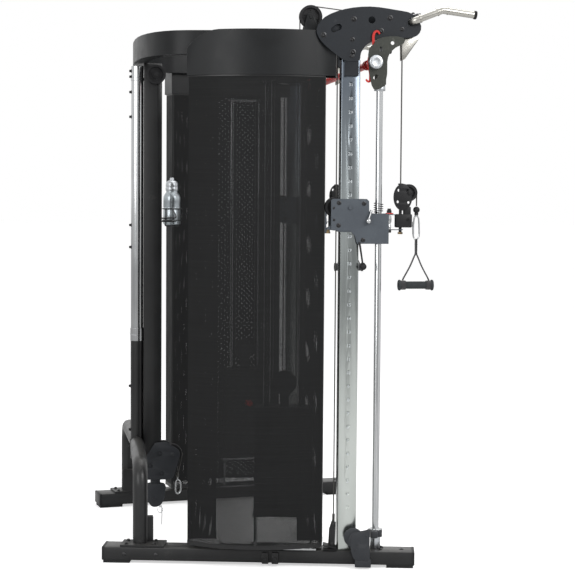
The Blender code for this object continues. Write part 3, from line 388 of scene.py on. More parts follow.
# open mesh sheet: small holes in offset rows
openHoles, groupIn, groupOut = makeGroup(
    "openHoles", [("Vector", vectorKind, None), ("Pitch", floatKind, 0.004), ("Hole", floatKind, 0.25)],
    [("Solid", floatKind), ("Height", floatKind)])
parts = addNode(openHoles, "ShaderNodeSeparateXYZ", {0: groupIn["Vector"]}).outputs
plus = addMath(openHoles, "DIVIDE", addMath(openHoles, "ADD", parts["X"], parts["Y"]), groupIn["Pitch"])
minus = addMath(openHoles, "DIVIDE", addMath(openHoles, "SUBTRACT", parts["X"], parts["Y"]),
                groupIn["Pitch"])
fromU = addMath(openHoles, "SUBTRACT", addMath(openHoles, "FRACT", plus), 0.5)
fromV = addMath(openHoles, "SUBTRACT", addMath(openHoles, "FRACT", minus), 0.5)
far = addMath(openHoles, "SQRT", addMath(openHoles, "ADD", addMath(openHoles, "MULTIPLY", fromU, fromU),
                                         addMath(openHoles, "MULTIPLY", fromV, fromV)))
openHoles.links.new(addMath(openHoles, "GREATER_THAN", far, groupIn["Hole"]), groupOut["Solid"])
openHoles.links.new(addRange(openHoles, far, 0.2, 0.55, 0.0, 1.0), groupOut["Height"])
print("shader effects made")


# Materials

def newMaterial(name):
    material = bpy.data.materials.new(name)
    material.use_nodes = True
    tree = material.node_tree
    tree.nodes.clear()
    shader = tree.nodes.new("ShaderNodeBsdfPrincipled")
    output = tree.nodes.new("ShaderNodeOutputMaterial")
    tree.links.new(shader.outputs[0], output.inputs["Surface"])
    coords = tree.nodes.new("ShaderNodeTexCoord")
    return material, tree, shader, coords.outputs


def placeGroup(tree, group, **inputs):
    node = tree.nodes.new("ShaderNodeGroup")
    node.node_tree = group
    for label, value in inputs.items():
        socket = node.inputs[label.replace("_", " ")]
        if isinstance(value, bpy.types.NodeSocket):
            tree.links.new(value, socket)
        else:
            socket.default_value = value
    return node.outputs


def addBump(tree, shader, height, strength, distance):
    bump = addNode(tree, "ShaderNodeBump", {"Height": height, "Strength": strength, "Distance": distance})
    tree.links.new(bump.outputs[0], shader.inputs["Normal"])


def paintMaterial(name, look):
    material, tree, shader, coords = newMaterial(name)
    vector = coords["Object"]
    grain = placeGroup(tree, coatGrain, Vector=vector, Grain_Scale=look["grain"])
    rubs = placeGroup(tree, rubMarks, Vector=vector, Mark_Scale=look["marks"], Amount=look["rub"])
    dust = placeGroup(tree, dustFilm, Vector=vector, Amount=look["dust"])
    base = addMix(tree, grain["Tone"], look["deep"], look["colour"])
    base = addMix(tree, rubs["Mask"], base, look["worn"])
    base = addMix(tree, dust["Mask"], base, look["dustColour"])
    tree.links.new(base, shader.inputs["Base Color"])
    rough = addRange(tree, grain["Tone"], 0.0, 1.0, look["rough"][0], look["rough"][1])
    rough = addMath(tree, "MULTIPLY_ADD", dust["Mask"], 0.35, rough)
    tree.links.new(rough, shader.inputs["Roughness"])
    shader.inputs["Metallic"].default_value = look.get("metal", 0.0)
    shader.inputs["Specular IOR Level"].default_value = look.get("specular", 0.5)
    shader.inputs["Coat Weight"].default_value = look.get("coat", 0.0)
    shader.inputs["Coat Roughness"].default_value = 0.25
    addBump(tree, shader, grain["Height"], look["bump"], 0.0003)
    return material


def metalMaterial(name, look):
    material, tree, shader, coords = newMaterial(name)
    vector = coords["Object"]
    lines = placeGroup(tree, polishAndReflectionLines, Vector=vector, Squeeze=look["squeeze"],
                       Line_Scale=look["lineScale"])
    rubs = placeGroup(tree, rubMarks, Vector=vector, Mark_Scale=11.0, Amount=look["rub"])
    # on the chrome, the streaks between the deep and the main colour are partly real polish lines and partly
    # painted reflection
    base = addMix(tree, addRange(tree, lines["Lines"], 0.3, 0.7, 0.0, 1.0), look["deep"], look["colour"])
    # painted reflection: on the chrome column the colour blends to a light tint low down and a dark tint high up,
    # in place of what the chrome reflects
    if "paintedReflectionTop" in look:
        height = addNode(tree, "ShaderNodeSeparateXYZ", {0: vector}).outputs["Z"]
        for span, reflectionTint in (("low", "base"), ("high", "paintedReflectionTop")):
            share = addRange(tree, height, *look[span], 0.0, 1.0)
            base = addMix(tree, share, look[reflectionTint] if span == "low" else base,
                          base if span == "low" else look[reflectionTint])
    base = addMix(tree, rubs["Mask"], base, look["worn"])
    tree.links.new(base, shader.inputs["Base Color"])
    haze = addRange(tree, lines["Haze"], 0.3, 0.75, look["rough"][0], look["rough"][1])
    tree.links.new(addMath(tree, "MULTIPLY_ADD", rubs["Mask"], 0.3, haze), shader.inputs["Roughness"])
    shader.inputs["Metallic"].default_value = 1.0
    addBump(tree, shader, lines["Lines"], look["bump"], 0.0002)
    return material


paintBase = {"grain": 900.0, "marks": 14.0, "rub": 0.25, "dust": 0.10, "dustColour": (0.16, 0.155, 0.145),
             "bump": 0.35, "rough": (0.36, 0.50), "specular": 0.22}
paintLooks = {
    "framePaint": {"colour": (0.014, 0.0145, 0.015), "deep": (0.008, 0.008, 0.0085),
                   "worn": (0.050, 0.049, 0.046),
                   "coat": 0.3,
                   "dust": 0.40, "rough": (0.36, 0.50)},
    "coverPaint": {"colour": (0.010, 0.011, 0.012), "deep": (0.007, 0.0075, 0.008),
                   "worn": (0.035, 0.037, 0.040),
                   "grain": 1300.0, "rub": 0.10, "rough": (0.34, 0.46), "dust": 0.05},
    "topPlatePaint": {"colour": (0.015, 0.0175, 0.0215), "deep": (0.011, 0.013, 0.016),
                      "worn": (0.07, 0.074, 0.085),
                      "rough": (0.40, 0.52)},
    "carriagePaint": {"colour": (0.082, 0.094, 0.108), "deep": (0.064, 0.073, 0.086),
                      "worn": (0.18, 0.20, 0.22),
                      "rough": (0.36, 0.48)},
    "smithPaint": {"colour": (0.044, 0.047, 0.040), "deep": (0.032, 0.034, 0.029),
                   "worn": (0.20, 0.20, 0.18),
                   "grain": 700.0, "rub": 0.35},
    "redPaint": {"colour": (0.58, 0.030, 0.022), "deep": (0.42, 0.018, 0.014), "worn": (0.30, 0.06, 0.05),
                 "rough": (0.24, 0.36), "coat": 0.3},
    "nylonBlack": {"colour": (0.017, 0.017, 0.018), "deep": (0.010, 0.010, 0.011),
                   "worn": (0.04, 0.04, 0.042),
                   "grain": 1800.0, "rough": (0.40, 0.55), "bump": 0.2},
    "castPlates": {"colour": (0.016, 0.016, 0.017), "deep": (0.008, 0.008, 0.009),
                   "worn": (0.060, 0.060, 0.062),
                   "grain": 420.0, "rough": (0.45, 0.65), "bump": 0.9, "rub": 0.4},
    "gripRubber": {"colour": (0.040, 0.045, 0.048), "deep": (0.029, 0.032, 0.034),
                   "worn": (0.10, 0.105, 0.11),
                   "grain": 1600.0, "rough": (0.60, 0.78), "bump": 0.5},
    "footRubber": {"colour": (0.012, 0.012, 0.013), "deep": (0.008, 0.008, 0.008),
                   "worn": (0.03, 0.03, 0.03),
                   "grain": 1500.0, "rough": (0.65, 0.85), "bump": 0.5},
    # painted light: a lighter copy of the black frame paint, so the shaded cheeks, blocks and clamps at the feet
    # still show their shape
    "cheekPaintWithPaintedLight": {"colour": (0.030, 0.033, 0.038), "deep": (0.021, 0.023, 0.027),
                   "worn": (0.09, 0.095, 0.10),
                   "rough": (0.38, 0.50), "specular": 0.35},
    "numberPrint": {"colour": (0.62, 0.66, 0.68), "deep": (0.48, 0.51, 0.53), "worn": (0.30, 0.32, 0.33),
                    "rough": (0.45, 0.6), "rub": 0.5},
    "cableCoat": {"colour": (0.075, 0.073, 0.068), "deep": (0.045, 0.044, 0.041), "worn": (0.20, 0.19, 0.17),
                  "grain": 2200.0, "rough": (0.30, 0.45)},
}
materials = {name: paintMaterial(name, {**paintBase, **look}) for name, look in paintLooks.items()}

metalBase = {"squeeze": (1.0, 1.0, 0.015), "lineScale": 420.0, "rub": 0.22, "bump": 0.12,
             "rough": (0.12, 0.22),
             "worn": (0.30, 0.30, 0.29)}
metalLooks = {
    "chromeTube": {"colour": (0.58, 0.59, 0.595), "deep": (0.42, 0.43, 0.44), "rough": (0.10, 0.20)},
    # chromeColumn: its colour carries a painted reflection, light low down and dark at the top
    "chromeColumn": {"colour": (0.31, 0.335, 0.33), "deep": (0.27, 0.29, 0.288), "rough": (0.16, 0.28),
                     "rub": 0.12,
                     "paintedReflectionTop": (0.125, 0.145, 0.170), "base": (0.56, 0.59, 0.565), "low": (0.45, 1.10),
                     "high": (1.20, 1.80)},
    "nickelBar": {"colour": (0.50, 0.49, 0.45), "deep": (0.38, 0.37, 0.34), "squeeze": (0.02, 1.0, 1.0),
                  "rough": (0.20, 0.32)},
    "zincPlate": {"colour": (0.56, 0.58, 0.60), "deep": (0.38, 0.40, 0.42), "squeeze": (1.0, 1.0, 1.0),
                  "lineScale": 90.0, "rough": (0.26, 0.42), "bump": 0.3},
    "brassNut": {"colour": (0.20, 0.150, 0.085), "deep": (0.11, 0.080, 0.045), "squeeze": (1.0, 1.0, 1.0),
                 "lineScale": 140.0, "rough": (0.25, 0.4)},
    "flaskSteel": {"colour": (0.44, 0.48, 0.50), "deep": (0.30, 0.33, 0.35), "squeeze": (1.0, 1.0, 14.0),
                   "lineScale": 160.0, "rough": (0.24, 0.38), "bump": 0.25},
    "darkSteel": {"colour": (0.060, 0.060, 0.062), "deep": (0.035, 0.035, 0.036), "squeeze": (1.0, 1.0, 1.0),
                  "lineScale": 200.0, "rough": (0.3, 0.45)},
}
for name, look in metalLooks.items():
    materials[name] = metalMaterial(name, {**metalBase, **look})

meshLook = {"pitch": 0.0046, "hole": 0.150, "thread": (0.012, 0.0125, 0.0128),
            "deep": (0.006, 0.0062, 0.0065)}
material, tree, shader, coords = newMaterial("towerMeshCloth")
holes = placeGroup(tree, openHoles, Vector=coords["UV"], Pitch=meshLook["pitch"], Hole=meshLook["hole"])
ripple = addNode(tree, "ShaderNodeMapping", {"Vector": coords["UV"], "Scale": (14.0, 3.0, 1.0)}).outputs[0]
ripples = addNoise(tree, ripple, 2.4, 6.0, 0.6)
rows = addNode(tree, "ShaderNodeMapping", {"Vector": coords["UV"], "Scale": (1.0, 60.0, 1.0)}).outputs[0]
tone = addMath(tree, "MULTIPLY_ADD", addNoise(tree, rows, 3.0, 2.0), 0.5,
               addMath(tree, "MULTIPLY", ripples, 0.6))
tree.links.new(addMix(tree, addRange(tree, tone, 0.35, 0.75, 0.0, 1.0), meshLook["deep"],
                      meshLook["thread"]),
               shader.inputs["Base Color"])
tree.links.new(addRange(tree, ripples, 0.3, 0.7, 0.5, 0.7), shader.inputs["Roughness"])
shader.inputs["Specular IOR Level"].default_value = 0.15
tree.links.new(holes["Solid"], shader.inputs["Alpha"])
addBump(tree, shader, holes["Height"], 0.5, 0.0005)
materials["towerMeshCloth"] = material

strapLook = {"pitch": 0.0014, "thread": (0.034, 0.034, 0.037), "deep": (0.010, 0.010, 0.012)}
material, tree, shader, coords = newMaterial("strapWebbing")
swapped = addNode(tree, "ShaderNodeMapping", {"Vector": coords["Object"],
                                              "Rotation": (math.radians(90), 0.0,
                                                           math.radians(90))}).outputs[0]
threads = placeGroup(tree, weave, Vector=swapped, Pitch=strapLook["pitch"])
fuzz = addNoise(tree, coords["Object"], 60.0, 5.0, 0.7)
tree.links.new(addMix(tree, threads["Thread"], strapLook["deep"], strapLook["thread"]),
               shader.inputs["Base Color"])
tree.links.new(addRange(tree, fuzz, 0.2, 0.8, 0.75, 0.95), shader.inputs["Roughness"])
shader.inputs["Sheen Weight"].default_value = 0.3
addBump(tree, shader, threads["Height"], 0.8, 0.0006)
materials["strapWebbing"] = material
print("materials made")

# Frame parts: the solid's own shape, with its edges softened
frameParts = {
    "framePaint": {"baseRail": ("base_rail_SIDE", "frame_paint"),
                   "rearLeg": ("rear_leg_SIDE", "frame_paint"),
                   "rearColumn": ("rear_column", "frame_paint")},
    "coverPaint": {"towerCap": ("tower_cap_SIDE", "cover_paint"),
                   "rearFascia": ("rear_fascia", "cover_paint")},
    "topPlatePaint": {"topPlates": ("top_plates_SIDE", "top_plate_paint")},
    "carriagePaint": {"carriagePlates": ("carriage_SIDE", "carriage_paint")},
    "smithPaint": {"smithPlates": ("smith_carriage_SIDE", "smith_paint")},
    "castPlates": {"restingPlates": ("resting_plates_SIDE", "plates"),
                   "liftedPlates": ("lifted_plates_SIDE", "plates")},
    "chromeTube": {"stackRods": ("stack_guides_SIDE", "chrome"),
                   "smithRod": ("smith_guide_rod_SIDE", "chrome")},
    "chromeColumn": {"frontColumn": ("front_column_SIDE", "chrome")},
    "nickelBar": {"pullUpBar": ("pull_up_bar", "chrome")},
    "redPaint": {"selectorPin": ("selector_pin_SIDE", "red_paint")},
}
softEdge = {"width": 0.0009, "angle": 42.0}
bodyOf = {node: body for body, nodes in frame["record"]["behaviour"]["bodies"].items() for node in nodes}


def softenNode(name, node, material):
    bm = bmesh.new()
    bm.from_mesh(frame["nodes"][node].data)
    bmesh.ops.remove_doubles(bm, verts=bm.verts, dist=0.00002)
    bmesh.ops.dissolve_limit(bm, angle_limit=math.radians(0.6), verts=bm.verts, edges=bm.edges)
    piece = newObject(name, bm, material, softEdge["angle"])
    bm.free()
    soft = piece.modifiers.new("softEdges", "BEVEL")
    soft.width = softEdge["width"]
    soft.segments = 2
    soft.limit_method = "ANGLE"
    soft.angle_limit = math.radians(softEdge["angle"])
    soft.harden_normals = True
    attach(piece, bodyOf[node])
    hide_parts(node)


for finish, shapes in frameParts.items():
    for name, (node, slot) in shapes.items():
        if "SIDE" in node:
            for side, sign in sides:
                softenNode(f"{name}_{side}", node.replace("SIDE", side), materials[finish])
        else:
            softenNode(name, node, materials[finish])

# rear pole: a bright tube that stands in a black sleeve
pole = {"join": 0.8405, "tube": 0.0250, "sleeve": 0.0260}
low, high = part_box("rear_pole")
bm = bmesh.new()
addTurned(bm, [(pole["tube"] - 0.003, pole["join"]), (pole["tube"], pole["join"]),
               (pole["tube"], high.z - 0.001), (pole["tube"] - 0.001, high.z),
               (pole["tube"] - 0.003, high.z)], at(0, poleStation, 0), (0, 0, 1), 40, ring=True)
addPiece("poleTube", bm, materials["chromeTube"], "root", replaced=("rear_pole",))
bm.free()
bm = bmesh.new()
addTurned(bm, [(pole["sleeve"] - 0.004, low.z), (pole["sleeve"] - 0.001, low.z),
               (pole["sleeve"], low.z + 0.001),
               (pole["sleeve"], pole["join"] - 0.0015), (pole["sleeve"] - 0.001, pole["join"] - 0.0005),
               (pole["sleeve"] - 0.004, pole["join"] - 0.0005)], at(0, poleStation, 0), (0, 0,
                                                                                         1), 40, ring=True)
addPiece("poleSleeve", bm, materials["framePaint"], "root", replaced=("rear_pole",))
bm.free()
print("frame parts softened")


# Tower mesh: one curved sheet with hems and corner rods

towerMesh = {"start": 0.323, "end": 0.829, "half": 0.045, "bulge": 0.075, "inner": 0.066, "fold": 0.098,
             "inset": 0.0012, "thickness": 0.0006, "hem": 0.016, "rod": 0.0045}


def meshRoute():
    inset = towerMesh["inset"]
    start, end = towerMesh["start"] + inset, towerMesh["end"] - inset
    inner = -towerMesh["inner"] + inset
    route = [(start + towerMesh["fold"], inner), (start + 0.006, inner), (start, inner + 0.006)]
    for step in range(25):
        t = step / 24
        across = towerMesh["half"] + towerMesh["bulge"] * (1 - (2 * t - 1) ** 2) - inset
        route.append((start + t * (end - start), across))
    route += [(end, inner + 0.006), (end - 0.006, inner), (end - towerMesh["fold"], inner)]
    return route


def meshSheet(bm, low, high, thickness):
    route = meshRoute()
    layer = bm.loops.layers.uv.verify()
    spots = [onRail(along, across, 0.0) for along, across in route]
    length = [0.0]
    for first, second in zip(spots, spots[1:]):
        length.append(length[-1] + (second - first).length)
    levels = [low + (high - low) * k / 8 for k in range(9)]
    normals = []
    for i in range(len(spots)):
        tangent = (spots[min(i + 1, len(spots) - 1)] - spots[max(i - 1, 0)]).normalized()
        normals.append(Vector((tangent.y, -tangent.x, 0)))
    shells = []
    for shift in (-thickness / 2, thickness / 2):
        shells.append([[bm.verts.new(spot + normal * shift + Vector((0, 0, z))) for z in levels]
                       for spot, normal in zip(spots, normals)])

    def addFace(corners):
        face = bm.faces.new([vert for vert, spot in corners])
        for loop, (vert, spot) in zip(face.loops, corners):
            loop[layer].uv = spot

    def corner(shell, i, k):
        return shells[shell][i][k], (length[i], levels[k])

    lastI, lastK = len(spots) - 1, len(levels) - 1
    for i in range(lastI):
        for k in range(lastK):
            addFace([corner(1, i, k), corner(1, i + 1, k), corner(1, i + 1, k + 1), corner(1, i, k + 1)])
            addFace([corner(0, i, k + 1), corner(0, i + 1, k + 1), corner(0, i + 1, k), corner(0, i, k)])
        addFace([corner(0, i, 0), corner(0, i + 1, 0), corner(1, i + 1, 0), corner(1, i, 0)])
        addFace([corner(1, i, lastK), corner(1, i + 1, lastK), corner(0, i + 1, lastK), corner(0, i, lastK)])
    for k in range(lastK):
        addFace([corner(0, 0, k), corner(1, 0, k), corner(1, 0, k + 1), corner(0, 0, k + 1)])
        addFace([corner(1, lastI, k), corner(0, lastI, k), corner(0, lastI, k + 1), corner(1, lastI, k + 1)])


meshLow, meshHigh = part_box("mesh_shroud_right")[0][2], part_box("mesh_shroud_right")[1][2]
bm = bmesh.new()
meshSheet(bm, meshLow + 0.002, meshHigh - 0.001, towerMesh["thickness"])
addPair("towerMesh", bm, materials["towerMeshCloth"], "root", replaced="mesh_shroud_SIDE")

bm = bmesh.new()
for low, high in ((meshLow, meshLow + towerMesh["hem"]), (meshHigh - towerMesh["hem"], meshHigh)):
    meshSheet(bm, low, high, 0.0022)
start, end = towerMesh["start"] + 0.007, towerMesh["end"] - 0.007
for along, across in ((start, -towerMesh["inner"] + 0.007), (end, -towerMesh["inner"] + 0.007),
                      (start, towerMesh["half"] - 0.007), (end, towerMesh["half"] - 0.007)):
    addTube(bm, [onRail(along, across, meshLow + 0.001), onRail(along, across, meshHigh - 0.001)],
            towerMesh["rod"], 10)
addPair("towerMeshFrame", bm, materials["framePaint"], "root")
print("tower mesh made")


# Pulleys: grooved rim, thin web with holes, and hub

pulleyLook = {"topRadius": 0.0425, "stackRadius": 0.046, "groove": 0.005, "web": 0.006, "hub": 0.0145,
              "bore": 0.0084, "holeShare": 0.17}


def wheelShape(bm, centre, axis, radius, width, holeCount=5, backed=True):
    half, groove, hub = width / 2, pulleyLook["groove"], pulleyLook["hub"]
    inner = radius - groove - 0.006
    profile = [(pulleyLook["bore"], -half), (hub, -half), (hub, -pulleyLook["web"] / 2),
               (inner, -pulleyLook["web"] / 2), (inner, -half + 0.0015), (inner + 0.0015,
                                                                          -half), (radius - 0.001, -half),
               (radius, -half + 0.001), (radius, -half + 0.0025), (radius - groove,
                                                                   -0.0018), (radius - groove, 0.0018),
               (radius, half - 0.0025), (radius, half - 0.001), (radius - 0.001, half), (inner + 0.0015,
                                                                                         half),
               (inner, half - 0.0015), (inner, pulleyLook["web"] / 2), (hub, pulleyLook["web"] / 2), (hub,
                                                                                                      half),
               (pulleyLook["bore"], half)]
    wheel = bmesh.new()
    addTurned(wheel, profile, (0, 0, 0), (0, 0, 1), 40, ring=True)
    bmesh.ops.recalc_face_normals(wheel, faces=wheel.faces)
    body = newObject("wheelBlank", wheel, materials["nylonBlack"])
    cutters = bmesh.new()
    holeRadius = radius * pulleyLook["holeShare"]
    middle = (hub + inner) / 2
    for k in range(holeCount):
        turn = math.tau * k / holeCount
        spot = Vector((middle * math.cos(turn), middle * math.sin(turn), -0.02))
        addTurned(cutters, [(min(holeRadius, (inner - hub) * 0.42), 0.0),
                            (min(holeRadius, (inner - hub) * 0.42), 0.04)],
                  spot, (0, 0, 1), 14)
    bmesh.ops.recalc_face_normals(cutters, faces=cutters.faces)
    cutter = newObject("wheelHoles", cutters, materials["nylonBlack"])
    cut = body.modifiers.new("holes", "BOOLEAN")
    cut.operation = "DIFFERENCE"
    cut.solver = "EXACT"
    cut.object = cutter
    bpy.context.view_layer.update()
    graph = bpy.context.evaluated_depsgraph_get()
    mesh = bpy.data.meshes.new_from_object(body.evaluated_get(graph))
    mesh.transform(Matrix.Translation(centre) @ Vector(axis).to_track_quat("Z", "Y").to_matrix().to_4x4())
    bm.from_mesh(mesh)
    if backed:
        addTurned(bm, [(hub - 0.001, -0.0005), (inner + 0.001, -0.0005), (inner + 0.001, 0.0005),
                       (hub - 0.001, 0.0005)],
                  centre, axis, 32, ring=True)
    for spare in (body, cutter):
        bpy.data.objects.remove(spare)
    wheel.free()
    cutters.free()


wheels = {
    "topWheel": ("top_pulley_SIDE", "top_wheel_SIDE", "top_wheel_spin_right", (1, 0, 0),
                 pulleyLook["topRadius"], 0.022),
    "stackWheel": ("stack_pulley_SIDE", "stack_wheel_SIDE", "stack_wheel_spin_right", tuple(railAcross),
                   pulleyLook["stackRadius"], 0.022),
    "swivelWheel": ("swivel_pulley_SIDE", "swivel_wheel_SIDE", "swivel_wheel_spin_right", (1, 0, 0), 0.032,
                    0.0205),
}
for name, (node, body, joint, axis, radius, width) in wheels.items():
    bm = bmesh.new()
    wheelShape(bm, jointSpot[joint], axis, radius, width)
    addPair(name, bm, materials["nylonBlack"], body, replaced=node)
for name, node, body, joint, radius in (("lowWheel", "rear_low_pulley", "rear_low_wheel",
                                         "rear_low_wheel_spin", 0.040),
                                        ("highWheel", "rear_high_pulley", "rear_high_wheel",
                                         "rear_high_wheel_spin",
                                         0.040)):
    bm = bmesh.new()
    wheelShape(bm, jointSpot[joint], (1, 0, 0), radius, 0.022)
    addPiece(name, bm, materials["nylonBlack"], body, replaced=(node,))
    bm.free()
print("pulleys made")


# Cables: each stretch is laid in place, fixed to no body

cable = {"radius": 0.0026, "anchorStation": 0.852, "plateTop": 2.062}
stackWheelSpot, swivelWheelSpot = jointSpot["stack_wheel_spin_right"], jointSpot["swivel_wheel_spin_right"]
topWheelSpot = jointSpot["top_wheel_spin_right"]
reach = pulleyLook["stackRadius"] - pulleyLook["groove"] + cable["radius"] + 0.0008
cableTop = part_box("stack_cable_right")[1][2]
points = []
for sign in (-1, 1):
    side = stackWheelSpot + railAlong * reach * sign
    run = [side + Vector((0, 0, (cableTop - 0.001 - side.z) * k / 24)) for k in range(25)]
    points = points + (run[::-1] if sign < 0 else run)
    if sign < 0:
        for k in range(1, 16):
            turn = math.pi * k / 16
            drop = Vector((0, 0, reach * math.sin(turn)))
            points.append(stackWheelSpot - railAlong * reach * math.cos(turn) - drop)
bm = bmesh.new()
addTube(bm, points, cable["radius"], 8)
addPair("stackCable", bm, materials["cableCoat"], "", replaced="stack_cable_SIDE",
        blend=("root", "stack_SIDE", stackWheelSpot + Vector((0, 0, cableTop - stackWheelSpot.z)),
               stackWheelSpot + Vector((0, 0, 0.055))))

# the straight cables are cut into steps
for name, node, ends, steps in (
        ("carriageCable", "carriage_cable", ("root", "carriage_body_SIDE"), 30),
        ("handleCable", "handle_cable", ("swivel_SIDE", "handle_SIDE"), 12)):
    low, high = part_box(node + "_right")
    spot = middleOf(node + "_right")
    run = [Vector((spot.x, spot.y, low[2] + (high[2] - low[2]) * k / steps)) for k in range(steps + 1)]
    bm = bmesh.new()
    addTube(bm, run, cable["radius"], 8)
    addPair(name, bm, materials["cableCoat"], "", replaced=node + "_SIDE",
            blend=ends + (run[-1], run[0]))

# the cable over the top pulley, and the one from the rail's anchor up behind the column
topReach = pulleyLook["topRadius"] - pulleyLook["groove"] + cable["radius"] - 0.0002
bm = bmesh.new()
downTo = topWheelSpot + Vector((0, topReach, -0.075))
arc = [topWheelSpot + Vector((0, topReach * math.cos(math.radians(turn)),
                              topReach * math.sin(math.radians(turn))))
       for turn in range(0, 96, 8)]
over = at(topWheelSpot.x + 0.012, 0.900, cable["plateTop"] + 0.006)
addTube(bm, [downTo] + arc + [arc[-1].lerp(over, 0.5), over], cable["radius"] * 0.8, 8)
addPair("topCable", bm, materials["cableCoat"], "root")
bm = bmesh.new()
anchor = at(frontX, cable["anchorStation"], 0.150)
addTube(bm, [anchor, at(frontX, cable["anchorStation"], 1.05), at(frontX, cable["anchorStation"], 1.93)],
        cable["radius"] * 0.9, 8)
addTube(bm, [at(frontX, cable["anchorStation"], 0.146), at(frontX, cable["anchorStation"], 0.196)], 0.0052,
        10)
addPair("anchorCable", bm, materials["cableCoat"], "root")

# the bracket that holds the lower end of that cable
cableAnchor = {"low": 0.064, "high": 0.168}
bm = bmesh.new()
outline = [(cable["anchorStation"] + shift, z) for shift, z in (
    (-0.018, cableAnchor["low"]), (0.004, cableAnchor["low"]), (0.006, cableAnchor["high"]),
    (-0.004, cableAnchor["high"]), (-0.014, cableAnchor["high"] - 0.030))]
for side in (0.012, -0.012):
    addPlate(bm, [outline], 0.006, sideMatrix(frontX + side))
addBox(bm, at(frontX, cable["anchorStation"] - 0.008, cableAnchor["low"] + 0.003), (0.030, 0.036, 0.005))
addBolt(bm, at(frontX + 0.015, cable["anchorStation"] - 0.006, cableAnchor["high"] - 0.012), (1, 0, 0),
        0.006)
addBolt(bm, at(frontX + 0.015, cable["anchorStation"] - 0.008, cableAnchor["low"] + 0.018), (1, 0, 0), 0.006)
addPair("cableAnchor", bm, materials["framePaint"], "root")
print("cables made")


# Top plates: bolts, the nose bracket and its gusset

topPlate = {"face": frontX + 0.0425, "bolts": ((0.905, 2.034), (0.793, 1.974), (1.040, 2.041),
                                               (1.007, 1.993),
                                               (0.903, 1.914))}
bm = bmesh.new()
for station, z in topPlate["bolts"]:
    addBolt(bm, at(topPlate["face"], station, z), (1, 0, 0), 0.0072, 0.0045, "button")
for station, z in ((0.900, 1.960), (1.085, 2.000)):
    addBolt(bm, at(topPlate["face"], station, z), (1, 0, 0), 0.0060, 0.0040, "button")
addBolt(bm, at(topPlate["face"], 0.899, 1.900), (1, 0, 0), 0.0062, 0.0045, "hex")
addPair("topPlateBolts", bm, materials["darkSteel"], "root")
bm = bmesh.new()
for station, z, wide in ((0.842, 2.000, 0.060), (1.040, 1.999, 0.030)):
    addBox(bm, at(frontX + 0.026, station, z), (0.006, wide, 0.034), bevel=0.002)
addPair("topPlateWeb", bm, materials["topPlatePaint"], "root")

gusset = {"thickness": 0.004, "half": 0.017}
outline = [(1.088, 1.966), (1.150, 1.974), (1.152, 1.966), (1.099, 1.892), (1.090, 1.888)]
bm = bmesh.new()
for shift in (-gusset["half"], gusset["half"]):
    addPlate(bm, [outline], gusset["thickness"], sideMatrix(frontX + shift + 0.006))
slope = (at(0, 1.1505, 1.967) - at(0, 1.0995, 1.893))
turn = Matrix.Rotation(math.atan2(slope.z, slope.y), 4, "X")
addBox(bm, at(frontX + 0.006, 1.1245, 1.9300), (2 * gusset["half"] + 0.004, slope.length, 0.003), turn)
addPair("noseGusset", bm, materials["nickelBar"], "root")

bm = bmesh.new()
addBox(bm, at(frontX + 0.004, 1.140, 2.0550), (0.060, 0.034, 0.006),
       Matrix.Rotation(math.radians(-14), 4, "X"))
for station, shift in ((1.131, 0.020), (1.147, -0.018), (1.131, -0.018), (1.147, 0.020)):
    addBolt(bm, at(frontX + shift, station, 2.0585 - (station - 1.140) * 0.25), (0, -0.24, 0.97), 0.0048,
            0.0035, "button")
addPair("noseBracket", bm, materials["darkSteel"], "root")

# pull-up bar: clamp collar beside the plate, weld rings at the elbow, rubber plug
barLook = {"radius": 0.0135, "elbow": at(0.775, 1.232, 2.071), "end": at(0.775, 1.360, 2.055),
           "start": at(0.775, 1.122, 2.028)}
bm = bmesh.new()
alongGrip = (barLook["end"] - barLook["elbow"]).normalized()
addTurned(bm, [(0.003, -0.006), (0.0152, -0.006), (0.0158, -0.002), (0.0158, 0.002), (0.0145, 0.0038),
               (0.004, 0.0042)],
          barLook["end"] - alongGrip * 0.004, alongGrip, 28)
addPair("barPlug", bm, materials["footRubber"], "root")
bm = bmesh.new()
toElbow = (barLook["elbow"] - barLook["start"]).normalized()
for spot, way, wide in ((barLook["elbow"] - toElbow * 0.020, toElbow, 0.0012),
                        (barLook["elbow"] + alongGrip * 0.020, alongGrip, 0.0012),
                        (barLook["start"] + toElbow * 0.028, toElbow, 0.0022)):
    addTurned(bm, [(0.0125, -0.003), (barLook["radius"] + wide, -0.0028), (barLook["radius"] + wide, 0.0028),
                   (0.0125, 0.003)], spot, way, 28, ring=True)
addPair("barRings", bm, materials["nickelBar"], "root")
print("top plates dressed")


# Smith bar: red tube with its hooks, zinc end discs

smithLook = {"radius": 0.0135, "station": 0.983, "z": 1.877, "face": frontX + 0.0585, "disc": 0.026,
             "hook": ((0.951, 1.8150), (0.957, 1.8075), (0.9655, 1.8095), (0.9665, 1.835), (0.9625, 1.858),
                      (0.9600, 1.877),
                      (0.9625, 1.896), (0.9720, 1.915), (0.9775, 1.938), (0.9765, 1.968), (0.980, 1.984),
                      (0.988, 1.9905), (0.996, 1.988), (1.000, 1.980))}
bm = bmesh.new()
barSpot = at(0, smithLook["station"], smithLook["z"])
addTube(bm, [barSpot - Vector((smithLook["face"], 0, 0)), barSpot,
             barSpot + Vector((smithLook["face"], 0, 0))],
        smithLook["radius"], 28)
for sign in (-1, 1):
    for x in (frontX - 0.075, frontX - 0.105):
        addTurned(bm, [(0.012, -0.004), (0.0185, -0.0035), (0.0185, 0.0035), (0.012, 0.004)],
                  barSpot + Vector((sign * x, 0, 0)), (1, 0, 0), 28, ring=True)
addPiece("smithBarTube", bm, materials["redPaint"], "smith_bar_body", replaced=("smith_bar",))
bm.free()


